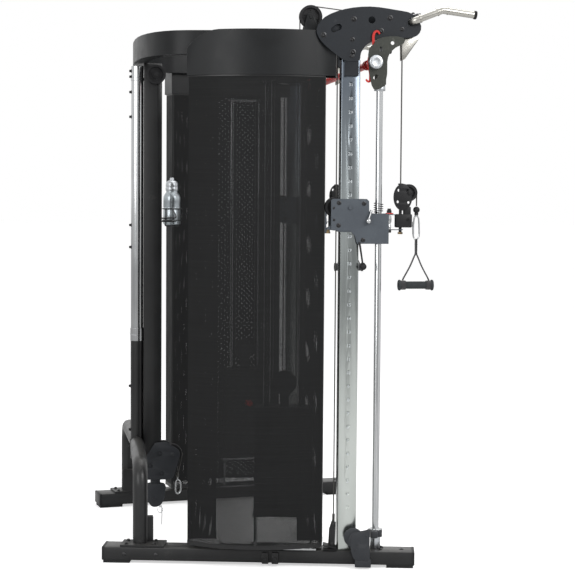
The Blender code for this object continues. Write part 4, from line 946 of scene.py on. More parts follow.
def flatHook(bm, x, thickness, width):
    path = smoothPath([at(x, station, z) for station, z in smithLook["hook"]], 4)
    loops = []
    for i, point in enumerate(path):
        tangent = (path[min(i + 1, len(path) - 1)] - path[max(i - 1, 0)]).normalized()
        across = Vector((1, 0, 0)).cross(tangent).normalized()
        share = i / (len(path) - 1)
        half = width / 2 * (0.62 + 0.5 * math.sin(math.pi * share) ** 0.6)
        loops.append([bm.verts.new(point + across * u * half + Vector((v * thickness / 2, 0, 0)))
                      for u, v in ((-1, -1), (1, -1), (1, 1), (-1, 1))])
    for low, high in zip(loops, loops[1:]):
        for k in range(4):
            bm.faces.new((low[k], low[(k + 1) % 4], high[(k + 1) % 4], high[k]))
    bm.faces.new(loops[0][::-1])
    bm.faces.new(loops[-1])


bm = bmesh.new()
flatHook(bm, frontX + 0.048, 0.006, 0.0088)
bmesh.ops.bevel(bm, geom=bm.edges[:], offset=0.0008, segments=1, affect="EDGES")
addTurned(bm, [(0.0130, -0.004), (0.0190, -0.0036), (0.0190, 0.0036), (0.0130, 0.004)],
          at(frontX + 0.048, smithLook["station"], smithLook["z"]), (1, 0, 0), 28, ring=True)
addPair("smithHooks", bm, materials["redPaint"], "smith_bar_body", replaced="smith_end_SIDE")

bm = bmesh.new()
addTurned(bm, [(0.004, 0.0), (smithLook["disc"], 0.0), (smithLook["disc"], 0.019),
               (smithLook["disc"] - 0.0015, 0.022),
               (smithLook["disc"] - 0.004, 0.0235), (0.012, 0.0235), (0.010, 0.0225), (0.002, 0.0225)],
          at(smithLook["face"] + 0.0004, smithLook["station"], smithLook["z"]), (1, 0, 0), 44)
addPair("smithDisc", bm, materials["zincPlate"], "smith_bar_body")

bm = bmesh.new()
rodSpot = at(frontX, 1.012, 0.0)
for z0, z1, radius in ((1.776, 1.792, 0.0200), (1.858, 1.872, 0.0200)):
    addTurned(bm, [(0.0136, z0), (radius, z0), (radius + 0.001, z0 + 0.002), (radius + 0.001, z1 - 0.002),
                   (radius, z1), (0.0136, z1)], rodSpot, (0, 0, 1), 32, ring=True)
addPair("smithBearingCaps", bm, materials["zincPlate"], "smith_carriages")
print("Smith carriage dressed")


# Carriage: bolts, levers, the rear guide wheel, the spring and the red ring

carriageLook = {"face": frontX + 0.0331, "bolts": ((0.857, 1.361), (0.951, 1.359), (0.856, 1.278),
                                                   (0.948, 1.224)),
                "pins": ((0.838, 1.342), (0.839, 1.298))}
bm = bmesh.new()
for station, z in carriageLook["bolts"]:
    addBolt(bm, at(carriageLook["face"], station, z), (1, 0, 0), 0.0058, 0.004, "button")
    addBolt(bm, at(2 * frontX - carriageLook["face"], station, z), (-1, 0, 0), 0.0058, 0.006, "hex")
for station, z in carriageLook["pins"]:
    addBolt(bm, at(carriageLook["face"], station, z), (1, 0, 0), 0.0030, 0.0015, "button")
addPair("carriageBolts", bm, materials["darkSteel"], "carriage_body_SIDE")

# chrome ball lever on the plate, black ball lever below it
bm = bmesh.new()
leverX = carriageLook["face"] + 0.012
addTube(bm, [at(carriageLook["face"] - 0.001, 0.977, 1.333), at(leverX, 0.977, 1.331)], 0.0035, 10)
addTube(bm, [at(leverX, 0.978, 1.334), at(leverX, 0.972, 1.314), at(leverX, 0.968, 1.304)], 0.0033, 12)
bmesh.ops.create_uvsphere(bm, u_segments=24, v_segments=14, radius=0.0105,
                          matrix=Matrix.Translation(at(leverX, 0.9665, 1.2945)))
addPair("ballLever", bm, materials["chromeTube"], "carriage_body_SIDE")
bm = bmesh.new()
addTube(bm, [at(leverX - 0.010, 0.934, 1.216), at(leverX - 0.006, 0.937, 1.198),
             at(leverX - 0.002, 0.9455, 1.140)],
        0.0042, 12, endRadius=0.0032)
bmesh.ops.create_uvsphere(bm, u_segments=24, v_segments=14, radius=0.0128,
                          matrix=Matrix.Translation(at(leverX - 0.002, 0.948, 1.126)))
addTurned(bm, [(0.002, 0.0), (0.0065, 0.001), (0.0085, 0.006), (0.0085, 0.008), (0.002, 0.010)],
          at(leverX - 0.002, 0.9465, 1.134) - Vector((0, 0, 0.003)), (0, 0.12, 1), 18)
addPair("pullLever", bm, materials["nylonBlack"], "carriage_body_SIDE")

bm = bmesh.new()
wheelSpot = at(frontX, 0.8455, 1.345)
wheelShape(bm, wheelSpot, (1, 0, 0), 0.0370, 0.022)
addTube(bm, [wheelSpot - Vector((0.031, 0, 0)), wheelSpot + Vector((0.031, 0, 0))], 0.0080, 16)
addPair("carriageWheel", bm, materials["nylonBlack"], "carriage_body_SIDE")

bm = bmesh.new()
for z0, z1, radius in ((1.248, 1.2545, 0.0088), (1.2545, 1.262, 0.0065)):
    addTurned(bm, [(0.002, 0.0), (radius, 0.0), (radius, z1 - z0), (0.002, z1 - z0)],
              at(frontX + 0.022, 0.819, z0),
              (0, 0, 1), 6 if radius > 0.007 else 14)
addPair("carriageStud", bm, materials["brassNut"], "carriage_body_SIDE")
bm = bmesh.new()
addPlate(bm, [[(0.8265, 1.276), (0.8265, 1.262), (0.812, 1.262), (0.812, 1.268)]], 0.020,
         sideMatrix(frontX + 0.020))
addPair("studTab", bm, materials["carriagePaint"], "carriage_body_SIDE")

clevis = {"station": 1.0515, "low": 1.264}
bm = bmesh.new()
addTurned(bm, [(0.002, 0.0), (0.0075, 0.0), (0.0085, 0.002), (0.0085, 0.013), (0.0062, 0.017),
               (0.0062, 0.022),
               (0.0092, 0.026), (0.0098, 0.038), (0.0086, 0.050), (0.002, 0.0515)],
          at(frontX + 0.020, clevis["station"] - 0.004, clevis["low"]), (0, 0, 1), 28)
addTurned(bm, [(0.001, 0.0), (0.0042, 0.0), (0.0042, 0.006), (0.003, 0.007), (0.001, 0.007)],
          at(frontX + 0.028, clevis["station"] - 0.004, 1.2915), (1, 0, 0), 16)
addPair("clevisPin", bm, materials["chromeTube"], "carriage_body_SIDE")
bm = bmesh.new()
addTurned(bm, [(0.0062, 0.0), (0.0135, 0.0), (0.0150, 0.0012), (0.0150, 0.0030), (0.0135, 0.0042),
               (0.0062, 0.0042)],
          at(frontX + 0.020, clevis["station"] - 0.002, 1.3205), (0, 0, 1), 28, ring=True)
addPair("redRing", bm, materials["redPaint"], "carriage_body_SIDE")
bm = bmesh.new()
addTurned(bm, [(0.002, 0.0), (0.0095, 0.0), (0.0095, 0.009), (0.0070, 0.0105), (0.0070, 0.016),
               (0.002, 0.016)],
          at(frontX + 0.020, clevis["station"] - 0.003, 1.3250), (0, 0, 1), 6)
addTurned(bm, [(0.002, 0.0), (0.0105, 0.0), (0.0112, 0.002), (0.0112, 0.010), (0.0100, 0.012),
               (0.002, 0.012)],
          at(frontX + 0.020, clevis["station"] - 0.006, 1.2515), (0, 0, 1), 24)
addPair("clevisNuts", bm, materials["nylonBlack"], "carriage_body_SIDE")

spring = {"radius": 0.0170, "wire": 0.0013, "turns": 4.5, "steps": 20, "low": 1.3255, "high": 1.362}
coil = []
for k in range(int(spring["turns"] * spring["steps"]) + 1):
    turn = math.tau * k / spring["steps"]
    climb = (spring["high"] - spring["low"]) * k / (spring["turns"] * spring["steps"])
    coil.append(at(frontX, 1.012, spring["low"] + climb)
                + Vector((math.cos(turn), math.sin(turn), 0)) * spring["radius"])
bm = bmesh.new()
addTube(bm, coil, spring["wire"], 8)
addPair("rodSpring", bm, materials["darkSteel"], "carriage_body_SIDE")

knob = {"station": 0.899, "z": 1.3428, "face": frontX + 0.0345}
bm = bmesh.new()
profile = [(0.003, 0.0), (0.0064, 0.0), (0.0068, 0.0015), (0.0068, 0.0030), (0.0055, 0.0045),
           (0.002, 0.0046)]
addTurned(bm, profile, at(knob["face"] + 0.0005, knob["station"], knob["z"]), (1, 0, 0), 32)
addPair("popPinKnob", bm, materials["carriagePaint"], "pop_pin_SIDE",
        replaced="carriage_pop_pin_SIDE")
print("carriage dressed")


# Swivel: bolts on the cheeks and the bronze nut under the pivot

swivelLook = {"cheek": 0.0150, "half": 0.0345, "tall": 0.0500, "middle": 1.3835, "holes": 0.0055,
              "thick": 0.0032}
station = 1.0995
bm = bmesh.new()
for sign, shift in ((1, 0.0), (-1, 0.009)):
    oval = [(station + shift + swivelLook["half"] * math.cos(math.tau * k / 40),
             swivelLook["middle"] + swivelLook["tall"] * math.sin(math.tau * k / 40)) for k in range(40)]
    rims = [circle(station + shift + u, z, swivelLook["holes"], 14) for u, z in (
        (0.0185, 1.4080), (0.0210, 1.3640), (-0.0165, 1.4090), (-0.0195, 1.3660))]
    addPlate(bm, [oval] + rims, swivelLook["thick"], sideMatrix(frontX + sign * swivelLook["cheek"]))
    addBolt(bm, swivelWheelSpot + Vector((sign * (swivelLook["cheek"] + 0.0016), 0, 0)), (sign, 0, 0),
            0.0065, 0.004)
    addBolt(bm, at(frontX + sign * 0.0131, 1.122, 1.300), (sign, 0, 0), 0.0045, 0.0035, "button")
addTube(bm, [swivelWheelSpot - Vector((0.016, 0, 0)), swivelWheelSpot + Vector((0.016, 0, 0))], 0.0076, 16)
addBox(bm, at(frontX, 1.1065, 1.2955), (0.0262, 0.0630, 0.0500), bevel=0.004)
addBox(bm, at(frontX, 1.1200, 1.3330), (0.0260, 0.0260, 0.0300), bevel=0.003)
low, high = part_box("swivel_bracket_right")
addTurned(bm, [(0.002, 0.0), (0.0058, 0.0), (0.0058, high.z - low.z - 0.006),
               (0.0095, high.z - low.z - 0.0056),
               (0.0095, high.z - low.z - 0.001), (0.002, high.z - low.z)], at(frontX, 1.095, low.z), (0, 0,
                                                                                                      1), 20)
addPair("swivelCheeks", bm, materials["nylonBlack"], "swivel_SIDE", replaced="swivel_bracket_SIDE")
bm = bmesh.new()
addTurned(bm, [(0.003, 0.0), (0.0085, 0.0), (0.0100, 0.0015), (0.0100, 0.0075), (0.003, 0.0075)],
          at(frontX, 1.095, 1.2455), (0, 0, 1), 6)
addPair("swivelNut", bm, materials["brassNut"], "swivel_SIDE")


# Handle: ball stop, snap hook, webbing and ribbed grip

hang = {"station": backY - middleOf("handle_cable_right").y, "stop": 1.3365,
        "grip": 1.055, "width": 0.0185}
x, station = frontX, hang["station"]
bm = bmesh.new()
bmesh.ops.create_uvsphere(bm, u_segments=24, v_segments=16, radius=0.0125,
                          matrix=Matrix.Translation(at(x, station, hang["stop"])))
addTurned(bm, [(0.003, 0.0), (0.0060, 0.0), (0.0075, 0.004), (0.0075, 0.009), (0.003, 0.012)],
          at(x, station, hang["stop"] - 0.021), (0, 0, 1), 20)
addPair("cableStop", bm, materials["nylonBlack"], "handle_SIDE")

outline = [(0.0088, 1.303), (0.0105, 1.285), (0.0112, 1.262), (0.0108, 1.240), (0.0060, 1.229),
           (0.0, 1.2265),
           (-0.0060, 1.229), (-0.0108, 1.240), (-0.0112, 1.262), (-0.0105, 1.285), (-0.0086,
                                                                                    1.303), (-0.0055, 1.311),
           (0.0, 1.3145), (0.0055, 1.311)]
bm = bmesh.new()
addTube(bm, smoothPath([at(x, station + u, z) for u, z in outline], 4, loop=True), 0.0030, 12, loop=True)
addTube(bm, [at(x, station - 0.0112, 1.292), at(x, station - 0.0118, 1.264),
             at(x, station - 0.0112, 1.246)], 0.0036, 12)
addTurned(bm, [(0.0022, -0.006), (0.0062, -0.006), (0.0068, -0.003), (0.0068, 0.003), (0.0062, 0.006),
               (0.0022, 0.006)],
          at(x, station, 1.3185), (0, 0, 1), 24)
addPair("snapHook", bm, materials["chromeTube"], "handle_SIDE")

half = 0.133 / 2 - 0.018
bm = bmesh.new()


def webbing(bm, path, width, thickness):
    # a flat strap along a path in the plane x = frontX, with rounded selvedges
    loops = []
    section = [(-0.5, -0.22), (-0.42, -0.5), (0.42, -0.5), (0.5, -0.22), (0.5, 0.22), (0.42, 0.5),
               (-0.42, 0.5),
               (-0.5, 0.22)]
    for i, point in enumerate(path):
        tangent = (path[min(i + 1, len(path) - 1)] - path[max(i - 1, 0)]).normalized()
        across = Vector((1, 0, 0))
        out = tangent.cross(across).normalized()
        loops.append([bm.verts.new(point + across * u * width + out * v * thickness) for u, v in section])
    for low, high in zip(loops, loops[1:]):
        for k in range(8):
            bm.faces.new((low[k], low[(k + 1) % 8], high[(k + 1) % 8], high[k]))
    bm.faces.new(loops[0][::-1])
    bm.faces.new(loops[-1])


for sign in (-1, 1):
    line = [at(x, station + sign * u, z) for u, z in (
        (0.0018, 1.2285), (0.0022, 1.215), (0.0020, 1.190), (0.0024, 1.172), (0.0075, 1.160), (0.0230,
                                                                                               1.124),
        (half - 0.003, 1.083), (half + 0.0015, 1.073))]
    webbing(bm, smoothPath(line, 4), hang["width"], 0.0030)
    addTurned(bm, [(0.0147, -0.0095), (0.0172, -0.0095), (0.0176, 0.0), (0.0172, 0.0095), (0.0147, 0.0095)],
              at(x, station + sign * half, hang["grip"]), (0, 1, 0), 36, ring=True)
for z in (1.207, 1.186):
    addBox(bm, at(x, station, z), (hang["width"] + 0.0008, 0.0078, 0.0022), bevel=0.0006)
addPair("handleStrap", bm, materials["strapWebbing"], "handle_SIDE", replaced="handle_strap_SIDE")

gripRadius = 0.0136
bm = bmesh.new()
profile = [(0.0082, -0.0665), (0.0176, -0.0665), (0.0200, -0.0648), (0.0206, -0.0618), (0.0200, -0.0592),
           (0.0160, -0.0575), (gripRadius, -0.0560)]
ribs = 26
for k in range(ribs):
    low = -0.0560 + 0.112 * k / ribs
    for share, rise in ((0.15, 0.0), (0.35, 0.0007), (0.65, 0.0007), (0.85, 0.0)):
        profile.append((gripRadius + rise, low + 0.112 / ribs * share))
profile += [(gripRadius, 0.0560), (0.0160, 0.0575), (0.0200, 0.0592), (0.0206, 0.0618), (0.0200, 0.0648),
            (0.0176, 0.0665), (0.0082, 0.0665)]
addTurned(bm, profile, at(x, station, hang["grip"]), (0, 1, 0), 40, ring=True)
addPair("ribbedGrip", bm, materials["gripRubber"], "grip_SIDE", replaced="handle_grip_SIDE")
print("handles made")


# Base rails: bolts, end caps, the mesh tray's clamps and flares

bm = bmesh.new()
for along, z in ((0.085, 0.034), (0.205, 0.034), (0.610, 0.034), (0.650, 0.034)):
    addBolt(bm, onRail(along, rail["width"] / 2, z), railAcross, 0.0052, 0.002, "button")
for along, across in ((1.048, 0.012), (1.052, -0.022)):
    addBolt(bm, onRail(along, across, rail["top"]), (0, 0, 1), 0.0060, 0.006, "button")
addBolt(bm, onRail(1.128, 0.0, rail["top"]), (0, 0, 1), 0.0058, 0.0020, "button")
for along, across in ((0.090, 0.030), (0.090, -0.030), (0.196, 0.030), (0.196, -0.030)):
    addBolt(bm, onRail(along, across, 0.0705), (0, 0, 1), 0.0060, 0.005, "hex")
addPair("railBolts", bm, materials["darkSteel"], "root")

bm = bmesh.new()
for along, shift in ((0.0, 0.0064), (rail["length"], -0.0064)):
    addBox(bm, onRail(along + shift, 0, (rail["top"] + rail["foot"]) / 2),
           (0.0120, rail["width"] + 0.0012, 0.0512),
           railTurn, 0.003)
addPair("railCaps", bm, materials["nylonBlack"], "root")

bm = bmesh.new()
for along in (0.618, 0.655):
    addBox(bm, onRail(along, rail["width"] / 2 + 0.006, 0.032), (0.026, 0.012, 0.044), railTurn, 0.003)
    addBolt(bm, onRail(along, rail["width"] / 2 + 0.012, 0.032), railAcross, 0.0075, 0.006)
addPair("trayClamps", bm, materials["framePaint"], "root")

bm = bmesh.new()
for along, z, tilt in ((0.858, 0.078, 12.0), (0.860, 0.067, 0.0)):
    slope = railTurn @ Matrix.Rotation(math.radians(tilt), 4, "Y")
    addBox(bm, onRail(along, 0.030, z), (0.052, 0.058, 0.0035), slope, 0.001)
addPair("trayFlare", bm, materials["nylonBlack"], "root")
print("rails dressed")


# Foot of the Smith rod: cable block on the rail's side, with its clamp round the rod

block = {"along": 0.955}
bm = bmesh.new()


def railSideMatrix(along, across):
    origin = onRail(along, across, 0)
    return Matrix(((railAlong.x, 0, railAcross.x, origin.x), (railAlong.y, 0, railAcross.y, origin.y),
                   (0, 1, 0, 0), (0, 0, 0, 1)))


cheek = [(-0.014, 0.062), (-0.017, 0.097), (-0.013, 0.124), (0.005, 0.1365), (0.036, 0.143), (0.052, 0.147),
         (0.053, 0.120), (0.053, 0.075), (0.053, 0.036), (0.026, 0.034), (-0.001, 0.036)]
spots = smoothPath([(u, v, 0) for u, v in cheek], 3, loop=True)
for across in (rail["width"] / 2 + 0.0045, rail["width"] / 2 + 0.0295):
    addPlate(bm, [[(p.x, p.y) for p in spots]], 0.005, railSideMatrix(block["along"], across), 0.0012)
addBox(bm, onRail(block["along"] + 0.0285, rail["width"] / 2 + 0.0165, 0.0225), (0.060, 0.029, 0.030),
       railTurn, 0.003)
addBox(bm, onRail(block["along"] + 0.040, rail["width"] / 2 + 0.018, 0.085), (0.022, 0.026, 0.100),
       railTurn, 0.003)
for u, z, radius in ((0.010, 0.096, 0.0046), (-0.001, 0.074, 0.0036), (0.042, 0.128, 0.0036)):
    addBolt(bm, onRail(block["along"] + u, rail["width"] / 2 + 0.0316, z), railAcross, radius, 0.0014,
            "button")
for shift, across, z in ((-0.008, 0.011, 0.117), (0.008, 0.0230, 0.104)):
    centre, radius = onRail(block["along"] + shift, rail["width"] / 2 + across, z), 0.0350
    addTurned(bm, [(0.004, -0.006), (radius - 0.003, -0.006), (radius, -0.005), (radius, -0.0035),
                   (radius - 0.005, 0.0), (radius, 0.0035), (radius, 0.005), (radius - 0.003, 0.006),
                   (0.004, 0.006)], centre, railAcross, 36)
addPair("railBlock", bm, materials["cheekPaintWithPaintedLight"], "root", replaced="low_pulleys_SIDE")

bm = bmesh.new()
addTurned(bm, [(0.0135, 0.1065), (0.0248, 0.1065), (0.0262, 0.1085), (0.0262, 0.1345), (0.0248, 0.1365),
               (0.0135, 0.1365)], at(frontX, 1.012, 0), (0, 0, 1), 36, ring=True)
addBox(bm, at(frontX + 0.030, 1.000, 0.1215), (0.030, 0.026, 0.026), bevel=0.003)
addPair("rodClamp", bm, materials["cheekPaintWithPaintedLight"], "root")

bm = bmesh.new()
addTurned(bm, [(0.0135, 0.0630), (0.0185, 0.0630), (0.0195, 0.0645), (0.0195, 0.1000), (0.0180, 0.1045),
               (0.0135, 0.1050)], at(frontX, 1.012, 0), (0, 0, 1), 32, ring=True)
addPair("rodSocket", bm, materials["zincPlate"], "root")
print("rod feet made")


# Rear column foot: carabiner, cable end, ring pin and the pole's clip

wheelLow = jointSpot["rear_low_wheel_spin"]
axle = (backY - wheelLow.y, wheelLow.z)
corners = ((0.232, 0.352, 0.016), (0.262, 0.350, 0.020), (axle[0], axle[1], 0.030),
           (axle[0] - 0.016, 0.236, 0.022),
           (0.190, 0.236, 0.022), (0.176, 0.262, 0.020))
rim = [(u + radius * math.cos(math.tau * k / 24), v + radius * math.sin(math.tau * k / 24))
       for u, v, radius in corners for k in range(24)]


def hullOf(points):
    # the tightest convex outline round the points
    points = sorted(set(points))
    outline = []
    for run in (points, points[::-1]):
        start = len(outline)
        for point in run:
            while len(outline) - start >= 2 and (
                    (outline[-1][0] - outline[-2][0]) * (point[1] - outline[-2][1])
                    - (outline[-1][1] - outline[-2][1]) * (point[0] - outline[-2][0])) <= 0:
                outline.pop()
            outline.append(point)
        outline.pop()
    return outline


footCheek = hullOf(rim)
bm = bmesh.new()
for sign in (-1, 1):
    addPlate(bm, [footCheek, circle(0.243, 0.322, 0.0105, 16), circle(0.204, 0.272, 0.0105, 16),
                  circle(0.252, 0.240, 0.0105, 16)], 0.005, sideMatrix(sign * 0.0285), 0.0012)
    for u, z in ((0.243, 0.322), (0.204, 0.272), (0.252, 0.240)):
        addTurned(bm, [(0.001, 0.0), (0.0102, 0.0), (0.0102, 0.004), (0.0058, 0.0042), (0.0050, 0.0070),
                       (0.001, 0.0072)],
                  at(sign * 0.0240, u, z), (sign, 0, 0), 18)
    addBolt(bm, at(sign * 0.0312, *axle), (sign, 0, 0), 0.0062, 0.0035, "button")
addTube(bm, [wheelLow - Vector((0.030, 0, 0)), wheelLow + Vector((0.030, 0, 0))], 0.0078, 16)
addPiece("footCheeks", bm, materials["cheekPaintWithPaintedLight"], "root", replaced=("rear_low_plates",))
bm.free()
bm = bmesh.new()
carabiner = [(0.0, 0.0), (0.009, -0.006), (0.0125, -0.020), (0.0125, -0.044), (0.006, -0.056),
             (-0.004, -0.056),
             (-0.0085, -0.044), (-0.0075, -0.020), (-0.006, -0.006)]
hookSpot = at(wheelLow.x - 0.004, 0.318, 0.208)
addTube(bm, smoothPath([hookSpot + Vector((0, -u, v)) for u, v in carabiner], 4, loop=True), 0.0028, 12,
        loop=True)
addTube(bm, [hookSpot + Vector((0, 0.0078, -0.020)), hookSpot + Vector((0, 0.0088, -0.043))], 0.0034, 12)
ringSpot = hookSpot + Vector((0, 0, 0.006))
ringPath = [ringSpot + Vector((0.007 * math.cos(math.tau * k / 18), 0.0,
                               0.007 * math.sin(math.tau * k / 18)))
            for k in range(18)]
addTube(bm, ringPath, 0.0018, 8, loop=True)
addPiece("footCarabiner", bm, materials["chromeTube"], "root")
bm.free()

bm = bmesh.new()
eye = at(wheelLow.x - 0.004, 0.3175, 0.228)
addTube(bm, smoothPath([wheelLow + Vector((0, -0.0385, 0.004)), wheelLow + Vector((0, -0.0400, -0.012)), eye,
                        ringSpot + Vector((0, 0.001, 0.007))], 6), 0.0024, 10)
addTurned(bm, [(0.002, -0.009), (0.0050, -0.009), (0.0060, -0.004), (0.0060, 0.004), (0.0045, 0.009),
               (0.002, 0.009)],
          eye, (eye - ringSpot), 16)
addPiece("footCable", bm, materials["cableCoat"], "root")
bm.free()

# lower rounded block under the cheeks, with the ring pin that hangs from it
bm = bmesh.new()
block2 = smoothPath([(0.190, 0.192, 0), (0.262, 0.192, 0), (0.266, 0.160, 0), (0.260, 0.128, 0),
                     (0.244, 0.104, 0),
                     (0.214, 0.100, 0), (0.196, 0.122, 0), (0.188, 0.156, 0)], 4, loop=True)
for x0 in (-0.016, 0.016):
    addPlate(bm, [[(p.x, p.y) for p in block2]], 0.005, sideMatrix(x0), 0.001)
addTurned(bm, [(0.004, -0.011), (0.030, -0.011), (0.034, -0.009), (0.034, -0.006), (0.029, 0.0),
               (0.034, 0.006),
               (0.034, 0.009), (0.030, 0.011), (0.004, 0.011)], at(0, 0.226, 0.140), (1, 0, 0), 32)
addBox(bm, at(0, 0.226, 0.202), (0.026, 0.040, 0.030), bevel=0.003)
for sign in (-1, 1):
    addBolt(bm, at(sign * 0.0185, 0.220, 0.133), (sign, 0, 0), 0.0045, 0.003, "button")
addPiece("footBlock", bm, materials["cheekPaintWithPaintedLight"], "root")
bm.free()
bm = bmesh.new()
ringTop = at(-0.012, 0.246, 0.098)
ringPath = [ringTop + Vector((0.0, 0.0105 * math.cos(math.tau * k / 20),
                              -0.012 + 0.0120 * math.sin(math.tau * k / 20)))
            for k in range(20)]
addTube(bm, ringPath, 0.0011, 8, loop=True)
addTube(bm, [ringTop + Vector((0, -0.006, 0.008)), ringTop + Vector((0, -0.007, -0.036)),
             ringTop + Vector((0, -0.006, -0.074))], 0.0016, 8)
addTube(bm, [ringTop + Vector((0, 0.000, 0.014)), ringTop + Vector((0, 0.001, -0.002))], 0.0022, 8)
addPiece("ringPin", bm, materials["chromeTube"], "root")
bm.free()

# bolts through the sleeve and the pole, and the chrome clip ring
bm = bmesh.new()
for z, way in ((0.350, 1), (0.420, 1), (1.170, 1), (1.260, 1), (0.600, 1), (1.700, 1), (1.800, 1),
               (1.862, 1), (1.885, 1)):
    reachBack = 0.0260 if z < 0.84 else 0.0252
    addBolt(bm, at(0, poleStation - reachBack + 0.001, z), (0, 1, 0), 0.0058, 0.0075)
addPiece("poleBolts", bm, materials["nylonBlack"], "root")
bm.free()
bm = bmesh.new()
for z0, z1, radius in ((0.786, 0.840, 0.0268), (1.845, 1.858, 0.0262)):
    addTurned(bm, [(0.0262 if z1 < 0.9 else 0.0252, z0), (radius + 0.0006, z0 + 0.001),
                   (radius + 0.0006, z1 - 0.001),
                   (0.0262 if z1 < 0.9 else 0.0252, z1)], at(0, poleStation, 0), (0, 0, 1), 40, ring=True)
clipRing = [at(0, poleStation, 0.808) + Vector((0.0286 * math.cos(t), 0.0286 * math.sin(t),
                                                0.006 * math.sin(t)))
            for t in [math.tau * k / 30 for k in range(30)]]
addTube(bm, clipRing, 0.0011, 8, loop=True)
addPiece("poleClip", bm, materials["chromeTube"], "root")
bm.free()
print("rear column dressed")


# Bottle: lathe-turned flask with its cap, and the wire holder

flask = {"radius": 0.0365, "low": 1.2552, "centre": middleOf("bottle")}
spot = Vector((flask["centre"].x, flask["centre"].y, 0))
r, low = flask["radius"], flask["low"]
bm = bmesh.new()
body = [(0.004, low + 0.002), (r - 0.010, low), (r - 0.003, low + 0.0012), (r, low + 0.005),
        (r, low + 0.072),
        (r - 0.0012, low + 0.0735), (r - 0.0012, low + 0.0755), (r, low + 0.077), (r, low + 0.112),
        (r - 0.001, low + 0.121), (r - 0.006, low + 0.131), (r - 0.011, low + 0.137), (r - 0.0125,
                                                                                       low + 0.142),
        (r - 0.012, low + 0.1455), (0.004, low + 0.1455)]
addTurned(bm, body, spot, (0, 0, 1), 48)
addPiece("flaskBody", bm, materials["flaskSteel"], "bottle_body", replaced=("bottle",), smooth=50)
bm.free()
bm = bmesh.new()
cap = [(0.004, low + 0.146), (0.0262, low + 0.146), (0.0270, low + 0.148), (0.0270, low + 0.158),
       (0.0255, low + 0.160),
       (0.0262, low + 0.163), (0.0262, low + 0.176), (0.0230, low + 0.184), (0.0150, low + 0.1885),
       (0.0095, low + 0.190), (0.0092, low + 0.1985), (0.0070, low + 0.2010), (0.002, low + 0.2010)]
addTurned(bm, cap, spot, (0, 0, 1), 40)
addPiece("flaskCap", bm, materials["zincPlate"], "bottle_body", smooth=50)
bm.free()

holder = {"ring": 1.3240, "wire": 0.0021, "radius": 0.0402}
bm = bmesh.new()
for z in (holder["ring"], 1.2750):
    ringPath = [spot + Vector((holder["radius"] * math.cos(math.tau * k / 32),
                               holder["radius"] * math.sin(math.tau * k / 32), z))
                for k in range(32)]
    addTube(bm, ringPath, holder["wire"], 8, loop=True)
for k in range(4):
    turn = math.tau * (k + 0.5) / 4
    way = Vector((math.cos(turn), math.sin(turn), 0)) * holder["radius"]
    addTube(bm, [spot + way + Vector((0, 0, holder["ring"])), spot + way + Vector((0, 0, 1.256)),
                 spot + way * 0.93 + Vector((0, 0, 1.2505)), spot + way * 0.1 + Vector((0, 0, 1.2505))],
            holder["wire"], 8)
armStart = at(0.0275, 0.228, holder["ring"] - 0.049)
armEnd = spot + Vector((-holder["radius"], 0, 1.2750))
addTube(bm, smoothPath([armStart, armStart + Vector((0.006, -0.060, 0)),
                        Vector((armStart.x + 0.03, armEnd.y, 1.2750)),
                        armEnd], 6), 0.0030, 10)
addTube(bm, smoothPath([armStart + Vector((0, 0, 0.012)), armStart + Vector((0.006, -0.058, 0.014)),
                        Vector((armStart.x + 0.03, armEnd.y, 1.292)),
                        armEnd + Vector((0, 0, 0.049))], 6), 0.0030, 10)
addBox(bm, at(0.0282, 0.224, 1.281), (0.0050, 0.046, 0.044), bevel=0.0012)
addPiece("flaskHolder", bm, materials["framePaint"], "root", replaced=("bottle_holder",))
bm.free()
print("flask made")


# Numbers beside the column's holes

def numberMesh(bm, text, size, matrix):
    curve = bpy.data.curves.new("numberText", "FONT")
    curve.body = text
    curve.size = size
    curve.align_x = "CENTER"
    curve.align_y = "CENTER"
    curve.extrude = 0.00025
    curve.resolution_u = 2
    guide = bpy.data.objects.new("numberText", curve)
    bpy.context.scene.collection.objects.link(guide)
    mesh = bpy.data.meshes.new_from_object(guide.evaluated_get(bpy.context.evaluated_depsgraph_get()))
    mesh.transform(matrix)
    bm.from_mesh(mesh)
    bpy.data.objects.remove(guide)
    bpy.data.curves.remove(curve)
    bpy.data.meshes.remove(mesh)


columnNumbers = {"first": 0.250, "pitch": 0.0508, "count": 31, "size": 0.017, "outerFace": 0.0253}
for side, sign in sides:
    bm = bmesh.new()
    for k in range(columnNumbers["count"]):
        z = columnNumbers["first"] + columnNumbers["pitch"] * k + columnNumbers["pitch"] * 0.42
        face = Matrix(((0, 0, sign, sign * (frontX + columnNumbers["outerFace"])),
                       (sign, 0, 0, backY - 0.899), (0, 1, 0, z), (0, 0, 0, 1)))
        numberMesh(bm, str(k + 1), columnNumbers["size"], face)
    piece = newObject(f"columnNumbers_{side}", bm, materials["numberPrint"])
    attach(piece, "root")
    bm.free()
print("numbers made")


# Floor, light and camera

studio = {"floor": 60.0, "floorTone": 0.84, "floorLift": 0.56, "world": 0.52}
bm = bmesh.new()
bmesh.ops.create_grid(bm, x_segments=1, y_segments=1, size=studio["floor"])
floorMaterial, tree, shader, coords = newMaterial("paleFloor")
pores = addNoise(tree, coords["Object"], 30.0, 4.0)
tone = studio["floorTone"]
tree.links.new(addMix(tree, pores, (tone * 0.99,) * 3, (tone * 1.01,) * 3), shader.inputs["Base Color"])
shader.inputs["Roughness"].default_value = 0.9
shader.inputs["Specular IOR Level"].default_value = 0.1
light = addNode(tree, "ShaderNodeLightPath").outputs
lift = addMath(tree, "MULTIPLY", light["Is Camera Ray"], studio["floorLift"])
shader.inputs["Emission Color"].default_value = (1, 1, 1, 1)
tree.links.new(lift, shader.inputs["Emission Strength"])
floor = newObject("floor", bm, floorMaterial)
bm.free()

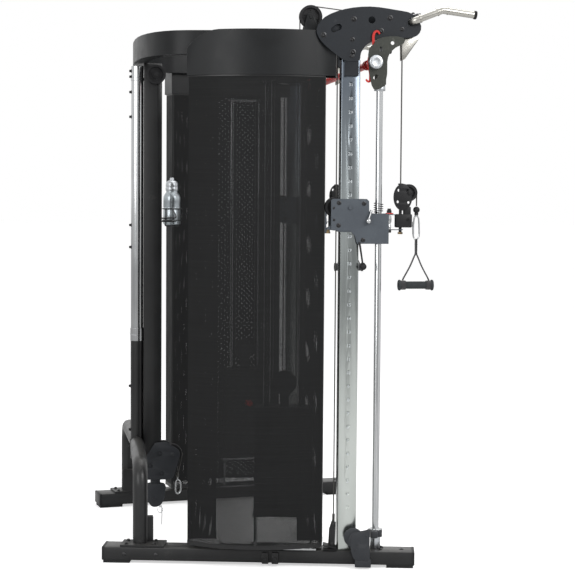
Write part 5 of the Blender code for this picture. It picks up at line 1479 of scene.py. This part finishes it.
world = bpy.data.worlds.new("studioWorld")
world.use_nodes = True
bpy.context.scene.world = world
tree = world.node_tree
tree.nodes.clear()
light = addNode(tree, "ShaderNodeLightPath").outputs
seen = addMath(tree, "MAXIMUM", light["Is Camera Ray"], addMath(tree, "MAXIMUM", light["Is Glossy Ray"],
                                                                light["Is Transmission Ray"]))
strength = addRange(tree, seen, 0.0, 1.0, studio["world"], 1.0)
background = addNode(tree, "ShaderNodeBackground", {"Color": (1, 1, 1, 1), "Strength": strength})
tree.links.new(background.outputs[0], addNode(tree, "ShaderNodeOutputWorld").inputs[0])


def addLamp(name, spot, target, size, power):
    lamp = bpy.data.lights.new(name, "AREA")
    lamp.shape = "RECTANGLE"
    lamp.size, lamp.size_y = size
    lamp.energy = power
    holder = bpy.data.objects.new(name, lamp)
    holder.location = spot
    holder.rotation_euler = (Vector(target) - Vector(spot)).to_track_quat("-Z", "Y").to_euler()
    bpy.context.scene.collection.objects.link(holder)


addLamp("keyLamp", (-4.2, -2.6, 3.6), (0, 0, 1.1), (2.4, 2.4), 130)
addLamp("sideLamp", (-3.8, 3.4, 2.6), (0, 0.2, 1.0), (2.6, 2.6), 80)
addLamp("overLamp", (1.0, -0.5, 5.2), (0, 0, 0.8), (3.4, 3.4), 90)

view = {"spot": (-6.667, 0.8416, 1.407), "turn": 8.0, "tip": 3.43, "roll": 0.4, "lens": 101.8}
turn, tip, roll = (math.radians(view[key]) for key in ("turn", "tip", "roll"))
ahead = Vector((math.cos(turn) * math.cos(tip), -math.sin(turn) * math.cos(tip), -math.sin(tip)))
across = Vector((-math.sin(turn), -math.cos(turn), 0))
upward = across.cross(ahead)
rightWay = across * math.cos(roll) + upward * math.sin(roll)
upWay = upward * math.cos(roll) - across * math.sin(roll)
lens = bpy.data.cameras.new("mainCamera")
lens.lens = view["lens"]
lens.sensor_width = 36.0
camera = bpy.data.objects.new("mainCamera", lens)
camera.matrix_world = Matrix((
    (rightWay.x, upWay.x, -ahead.x, view["spot"][0]),
    (rightWay.y, upWay.y, -ahead.y, view["spot"][1]),
    (rightWay.z, upWay.z, -ahead.z, view["spot"][2]),
    (0, 0, 0, 1),
))
bpy.context.scene.collection.objects.link(camera)
bpy.context.scene.camera = camera
bpy.context.scene.view_settings.view_transform = "Standard"
print("studio ready")
